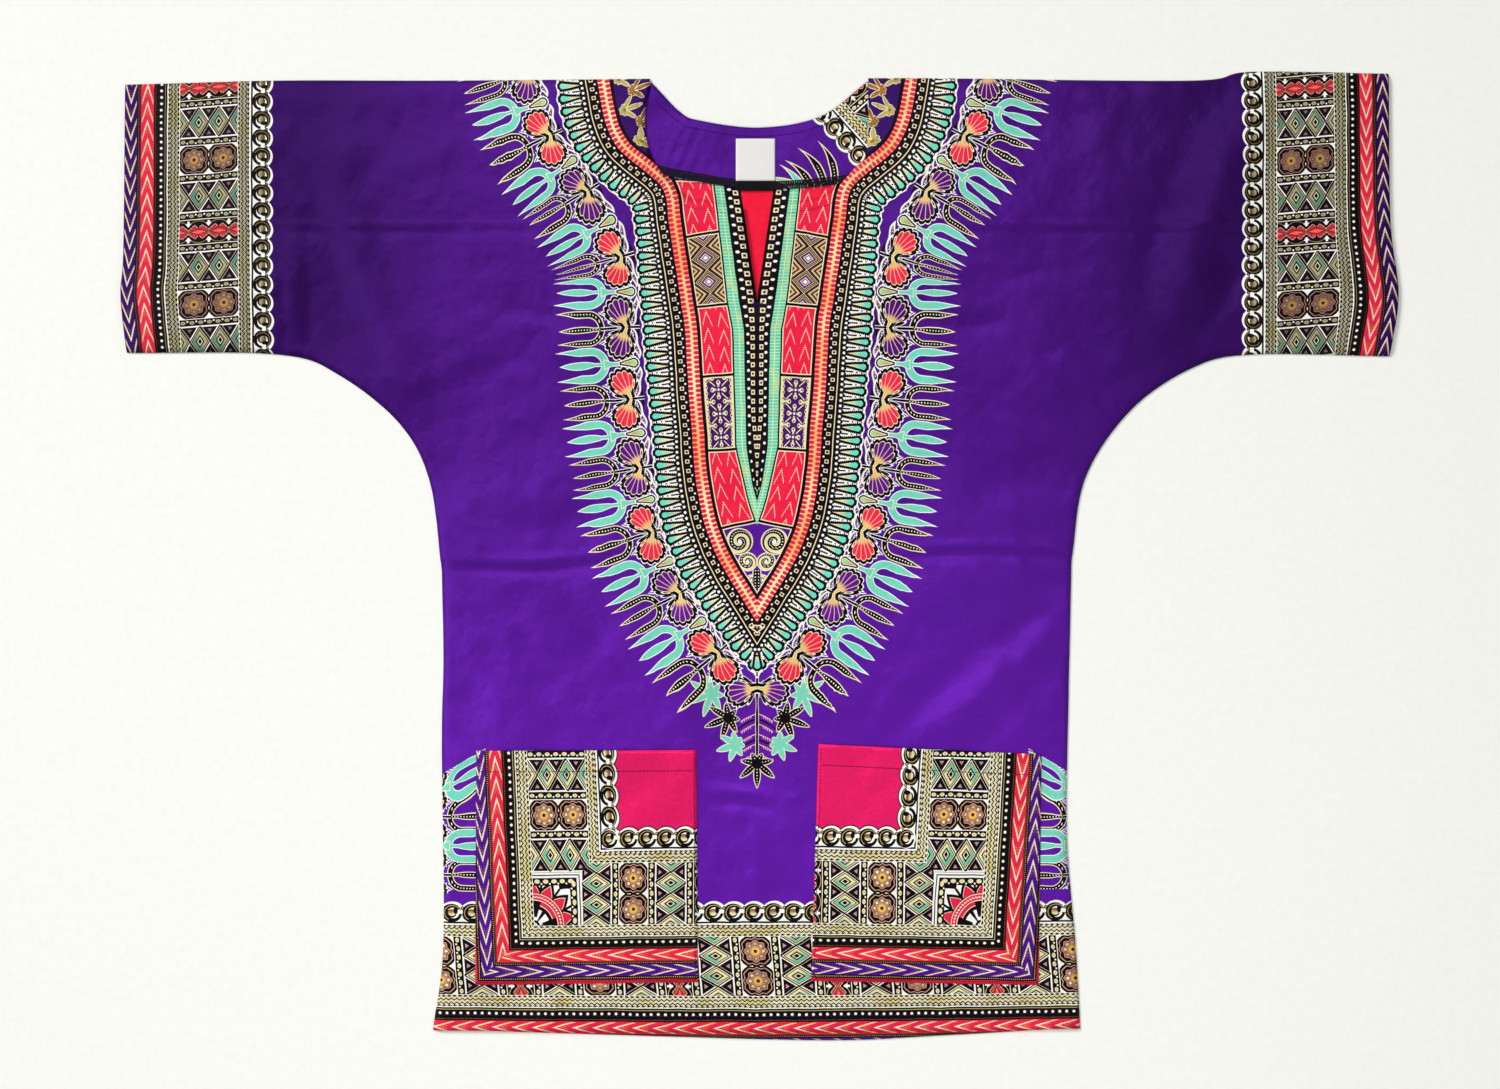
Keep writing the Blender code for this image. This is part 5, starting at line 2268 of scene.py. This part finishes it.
    def middle(
        self, paint: Paint, x: Field, y: Field, d: Field, inner: Field, outer: Field, share: Field
    ) -> None:
        """Everything inside the red band: panels, mint band, placket, wedge and scrolled tip."""
        board = self.board
        levels = [y + x * slope - height for slope, height in LEVELS]
        span = outer - 2.5
        q = span / (span - d - 9.0)
        panels = self.arrows(q, y)
        panels.over((levels[0] < 0.0) & (levels[1] > 0.0), self.lozenges(q, y + x * 0.12 - 260.5))
        panels.over((levels[2] < 0.0) & (levels[3] > 0.0), self.florets(q, y + x * 0.07 - 144.5))
        panels.over(levels[4] < 0.0, self.tip(x, y))
        rail = abs(levels[0])
        for level in levels[1:]:
            rail = rail.lesser(abs(level))
        rail = rail - 1.0
        rail = rail.lesser((outer - 1.3) + (levels[4] < -1.0) * 50.0).lesser(-7.9 - d)
        panels.lay(rail < 1.0, CREAM)
        panels.lay(rail < 0.1, BLACK)
        panels.over(levels[5] > 0.0, self.shoulder(d, y))
        within = d < -7.9
        paint.over(within, panels)
        mint = (outer < 0.0) & (y > 24.0)
        paint.lay(mint, STRAW)
        centre = abs(inner + outer) * 0.5
        brick = (y.folded(1.35) < 1.1) & (centre > 0.35)
        fresh = board.blend(board.grain(16.0).eased(0.3, 0.5), MINT.colour, srgb("5cd6b4"))
        paint.shade(mint & brick, fresh, 0.0)
        placket = (inner < 0.0) & (y > 46.0)
        paint.lay((inner < 1.0) & (y > 44.0), BLACK)
        squares = share - y.scaled(0.0088, -0.7).greater(0.0).lesser(0.37)
        box = (abs(y.repeated(7.8)) * 0.8).greater(abs(squares) * 10.0)
        paint.lay(placket & (box < 1.7), CREAM)
        paint.lay(placket & (box < 0.8), BLACK)
        dot = board.length((y - 3.0).repeated(7.8), (share - 0.76) * 9.5)
        paint.lay(placket & (dot < 1.25), WHITE)
        paint.lay((share < 0.0) & (y > 219.7), WEDGE_RED)

    def spiral(self, paint: Paint, x: Field, y: Field, radius: float, pitch: float) -> None:
        """A dotted black coil with a bright one beside it: its arm repeats as it turns."""
        board = self.board
        reach = board.length(x, y)
        turn = board.angle(y, x)
        arm = (reach - turn * (pitch / (2.0 * math.pi)) - pitch * 0.58).repeated(pitch)
        inside = reach < radius
        paint.lay(reach < radius + 1.0, CREAM)
        paint.lay(inside, BLACK)
        paint.lay(inside & (abs(arm) < pitch * 0.21), STRAW)
        dots = board.length((turn * reach).repeated(2.5), abs(arm) - pitch * 0.5)
        paint.lay(inside & (dots < 0.55), WHITE)
        paint.lay(reach < pitch * 0.26, WHITE)

    def tip(self, x: Field, y: Field) -> Paint:
        """The tip below the panels: three pairs of coils on purple."""
        paint = Paint(self.board, PURPLE.colour)
        trunk = (x < 3.0) & y.between(-34.0, 24.0)
        paint.lay((x < 3.9) & y.between(-35.0, -12.0), CREAM)
        self.spiral(paint, x - 4.9, y + 20.6, 3.6, 3.4)
        self.spiral(paint, x - 7.9, y + 5.3, 7.2, 5.0)
        self.spiral(paint, x - 15.0, y - 12.0, 10.6, 6.6)
        paint.lay(trunk & (y < -12.0), BLACK)
        paint.lay((self.board.length(x - 1.3, y.repeated(2.6)) < 0.5) & (y < -12.0) & trunk, WHITE)
        return paint

    def shoulder(self, d: Field, y: Field) -> Paint:
        """The shoulder's corner: gold flowers on dark purple, with long petals inwards."""
        board = self.board
        paint = Paint(board, srgb("3a1168"))
        for shift, deep in ((0.0, 13.5), (13.5, 24.0)):
            a = (y + d * 0.35 + shift).repeated(27.0)
            b = -deep - d
            reach = board.length(a, b)
            turn = board.angle(a, b)
            petal = turn.folded(math.pi / 7.0)
            long = turn.scaled(1.0, math.pi / 2.0).wave().greater(0.0).scaled(11.0, 5.0)
            z = reach / (long * 0.5) - 1.1
            shape = reach * petal - (z * z).scaled(-1.6, 1.6)
            paint.lay((shape < 0.55) & (reach < long * 1.02), CREAM)
            paint.lay((shape < -0.05) & (reach < long), LEAF_GOLD if deep < 20.0 else BRONZE)
            paint.lay(reach < 1.4, BRONZE)
        return paint

    def star(self, paint: Paint, x: Field, y: Field, aim: float, size: float, dark: bool) -> None:
        """A leaf of pointed blades, longest where it aims."""
        board = self.board
        reach = board.length(x, y)
        turn = board.angle(y, x) - aim
        blade = turn.folded(math.pi / 7.0)
        long = (turn + math.pi / 2.0).wave().scaled(0.28 * size, 0.72 * size)
        z = reach / (long * 0.5) - 0.9
        shape = reach * blade - (z * z).scaled(-2.4, 2.4)
        near = reach < long * 0.98
        paint.lay((shape < 0.9) & near, CREAM)
        paint.lay((shape < 0.1) & near, BLACK if dark else TEAL)
        if dark:
            dots = board.length(reach.repeated(2.5), reach * blade)
            paint.lay((dots < 0.45) & (shape < -0.5) & near & (reach > 4.0), WHITE)
        else:
            paint.lay((blade * reach < 0.22) & (shape < -0.9) & near, LEAF_GOLD)

    def tail(self, paint: Paint, x: Field, y: Field) -> None:
        """The spray that hangs from the tip: a fan pair, a stem with branches, and star leaves."""
        low = y + 113.5
        fall = y + x * 0.3 + x * x * 0.016
        spray = x.between(1.0, 14.0) & fall.between(-176.0, -134.0)
        branch = (fall + 135.5).repeated(8.6)
        paint.lay((abs(branch) < 0.4) & spray, PINK)
        hair = branch.between(-2.0, 0.0) & (x.folded(0.9) < 0.38)
        paint.lay(hair & spray & (x > 4.0), PINK)
        dark = abs(fall + 140.0).lesser(abs(fall + 157.5))
        paint.lay((dark < 0.75) & (x < 17.0), BLACK)
        for radius in (17.5, 14.0):
            arc = abs(self.board.length(x, y + 97.0) - radius)
            paint.lay((arc < 0.5) & (y < -97.0) & (self.board.grain(2.0) > 0.42), CREAM)
        stem = y.between(-186.0, -92.0)
        paint.lay((x < 1.4) & stem, CREAM)
        paint.lay((x < 0.95) & stem, BLACK)
        paint.lay((abs(low + 3.0 - x * 0.1) < 0.8) & (x < 34.0), BLACK)
        self.flower(paint, x * 0.978 - low * 0.208, x * 0.208 + low * 0.978, 0.0)
        self.star(paint, x - 39.5, y + 118.5, -0.35, 24.0, False)
        self.star(paint, x - 24.5, y + 139.5, -0.35, 22.0, True)
        self.star(paint, x - 18.5, y + 162.0, -0.35, 17.5, False)
        self.star(paint, x * 1.0, y + 178.5, -math.pi / 2.0, 22.0, True)

    def heart(self, paint: Paint, x: Field, y: Field) -> None:
        """A small bright heart under the red band's point."""
        lobes = self.board.length(x - 1.7, y + 61.3) - 1.9
        point = ((x * 0.83 - (y + 66.8)) * 0.75).greater(y + 61.3)
        shape = lobes.lesser(point)
        paint.lay(shape < 0.3, CREAM)
        paint.lay(shape < -0.8, PLUM)

    def sides(self) -> Paint:
        """The lower side of a panel: tridents of a second garland, rooted at the seam."""
        board = self.board
        paint = purple_ground(board)
        x, y = board.plan()
        sway_x, sway_y = board.sway(19.0, 0.5)
        d = 285.5 - abs(x) + sway_x
        lean = y.eased(-226.0, -196.0) * 0.55
        s = 224.5 + self.first + self.pitch + y - (d - 18.0) * lean + sway_y
        narrow = NeckPrint(board, 50.0, self.first + self.pitch)
        narrow.garland(paint, s, d, 31.0)
        paint.over(y + abs(x) * 0.59 > -28.0, purple_ground(board))
        return paint

    def paint(self) -> Paint:
        """The whole print, from its outer parts inwards."""
        board = self.board
        ground = purple_ground(board)
        sway_s, sway_d = board.sway(19.0, 0.45)
        x, y = board.plan()
        x, y = abs(x) + sway_s, y + sway_d
        self.tail(ground, x, y)
        s, d, _ = board.ruler("flowers")
        self.garland(ground, s + sway_s, d + sway_d)
        s, d, _ = board.ruler("band")
        s, d = s + sway_s * 0.5, d + sway_d * 0.5
        along, out, _ = board.ruler("drops")
        self.drops(ground, along + sway_s, out + sway_d, d - 5.4)
        point = y + 89.9
        ground.lay((x < 4.6) & abs(point).between(-1.0, 10.4) & (x < point + 15.0), WHITE)
        self.drop(ground, x, -point)
        self.beads(ground, s, d - 5.4)
        self.heart(ground, x, y)
        inner, outer, share = board.ruler("middle")
        self.middle(ground, x, y, d, inner + sway_s * 0.5, outer + sway_s * 0.5, share)
        self.band(ground, s, d)
        return ground


def neck_finish(name: str) -> bpy.types.Material:
    """The neck print on a panel."""
    board = Board(name)
    return PANEL_CLOTH.finish(board, NeckPrint(board).paint())


def side_finish(name: str) -> bpy.types.Material:
    """The tridents at a panel's lower sides."""
    board = Board(name)
    return PANEL_CLOTH.finish(board, NeckPrint(board).sides())


# Blades of the facing: root, tip and ink
BLADES = (
    ((34.4, 315.6), (12.6, 324.3), MINT),
    ((37.8, 316.9), (24.6, 332.6), TEAL),
    ((46.0, 319.0), (29.6, 336.7), BLACK),
    ((57.4, 320.3), (40.6, 346.4), BLACK),
    ((66.7, 323.6), (56.7, 351.4), BLACK),
)


@dataclass
class FacingPrint:
    """The facing's piece of the cloth: four blades and the border's end, set aslant."""

    board: Board
    turn: float = 0.8465
    start: tuple = (46.05, 374.5)

    def blade(self, paint: Paint, x: Field, y: Field, root: tuple, tip: tuple, ink: Ink) -> None:
        """A curved leaf from its root to its tip, which is drawn out to a point."""
        board = self.board
        rise, run = tip[1] - root[1], tip[0] - root[0]
        long = math.hypot(rise, run)
        t = ((x - root[0]) * run + (y - root[1]) * rise) * (1.0 / long)
        w = ((x - root[0]) * -rise + (y - root[1]) * run) * (1.0 / long)
        w = w + t * (t.scaled(-1.0, long)) * 0.012
        shape = abs(w) - (t.scaled(-0.16, long * 0.16)).lesser(2.5)
        paint.lay(shape < 1.0, CREAM)
        paint.lay(shape < 0.0, ink)
        if ink is BLACK:
            paint.lay((board.length(t.repeated(2.6), w) < 0.5) & (t < long * 0.5), WHITE)

    def paint(self) -> Paint:
        """The facing's print."""
        board = self.board
        x, y = board.plan()
        paint = purple_ground(board)
        across, along = x - self.start[0], y - self.start[1]
        cosine, sine = math.cos(self.turn), math.sin(self.turn)
        u = across * cosine - along * sine - 3.5
        e = BORDER_DEPTH - across * sine - along * cosine
        print_of = BorderPrint(board)
        border = print_of.paint(u, e, u)
        paint.over(1.0 - print_of.ended(u, e).greater(e > BORDER_DEPTH), border)
        for root, tip, ink in BLADES:
            self.blade(paint, x, y, root, tip, ink)
        return paint


def facing_finish() -> bpy.types.Material:
    """The facing's print."""
    board = Board("facing_print")
    return Sateen().finish(board, FacingPrint(board).paint())


def finishes() -> dict:
    """Every finish, by the piece that wears it."""
    ground = ground_finish()
    border = border_finish("border_print")
    neck = neck_finish("neck_print")
    side = side_finish("side_print")
    return {
        "panel": [ground, border, neck, side],
        "facing": [facing_finish()],
        "pocket": [pocket_finish()],
        "label": [Plain("f4f1ee", 0.5, 0.4, rib=0.55).finish("label_ribbon")],
        "tab": [Plain("0b090d", 0.6, 0.12, rib=0.55).finish("tab_ribbon")],
        "purple_thread": Plain("2b0c5e", 0.6).finish("purple_thread"),
        "red_thread": Plain("4c0c28", 0.6).finish("red_thread"),
        "dark_thread": Plain("0c0810", 0.6).finish("dark_thread"),
        "white_thread": Plain("efece8", 0.6).finish("white_thread"),
        "floor": Plain("f8f8f2", 0.9, 0.1, grain=6.0, relief=0.05).finish("floor_paper"),
    }


def main() -> None:
    """Builds the shirt piece by piece, then its studio."""
    logging.basicConfig(level=logging.INFO, format="%(name)s: %(message)s")
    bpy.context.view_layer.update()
    worn = finishes()
    lie = Lie()
    inside = NeckInside(worn)
    pockets = [
        Pocket("pocket_left", POCKET_LEFT, Side.LEFT, lie, worn),
        Pocket("pocket_right", POCKET_RIGHT, Side.RIGHT, lie, worn),
    ]
    pieces = Panels(lie, worn).build() + inside.build() + [pocket.build() for pocket in pockets]
    pieces += Stitching(lie, inside, pockets, worn).build()
    for piece in pieces:
        LOG.info("%s: %d faces", piece.name, len(piece.data.polygons))
    Studio().build(worn["floor"])
    bpy.context.scene.view_settings.view_transform = "Standard"


if __name__ == "__main__":
    main()
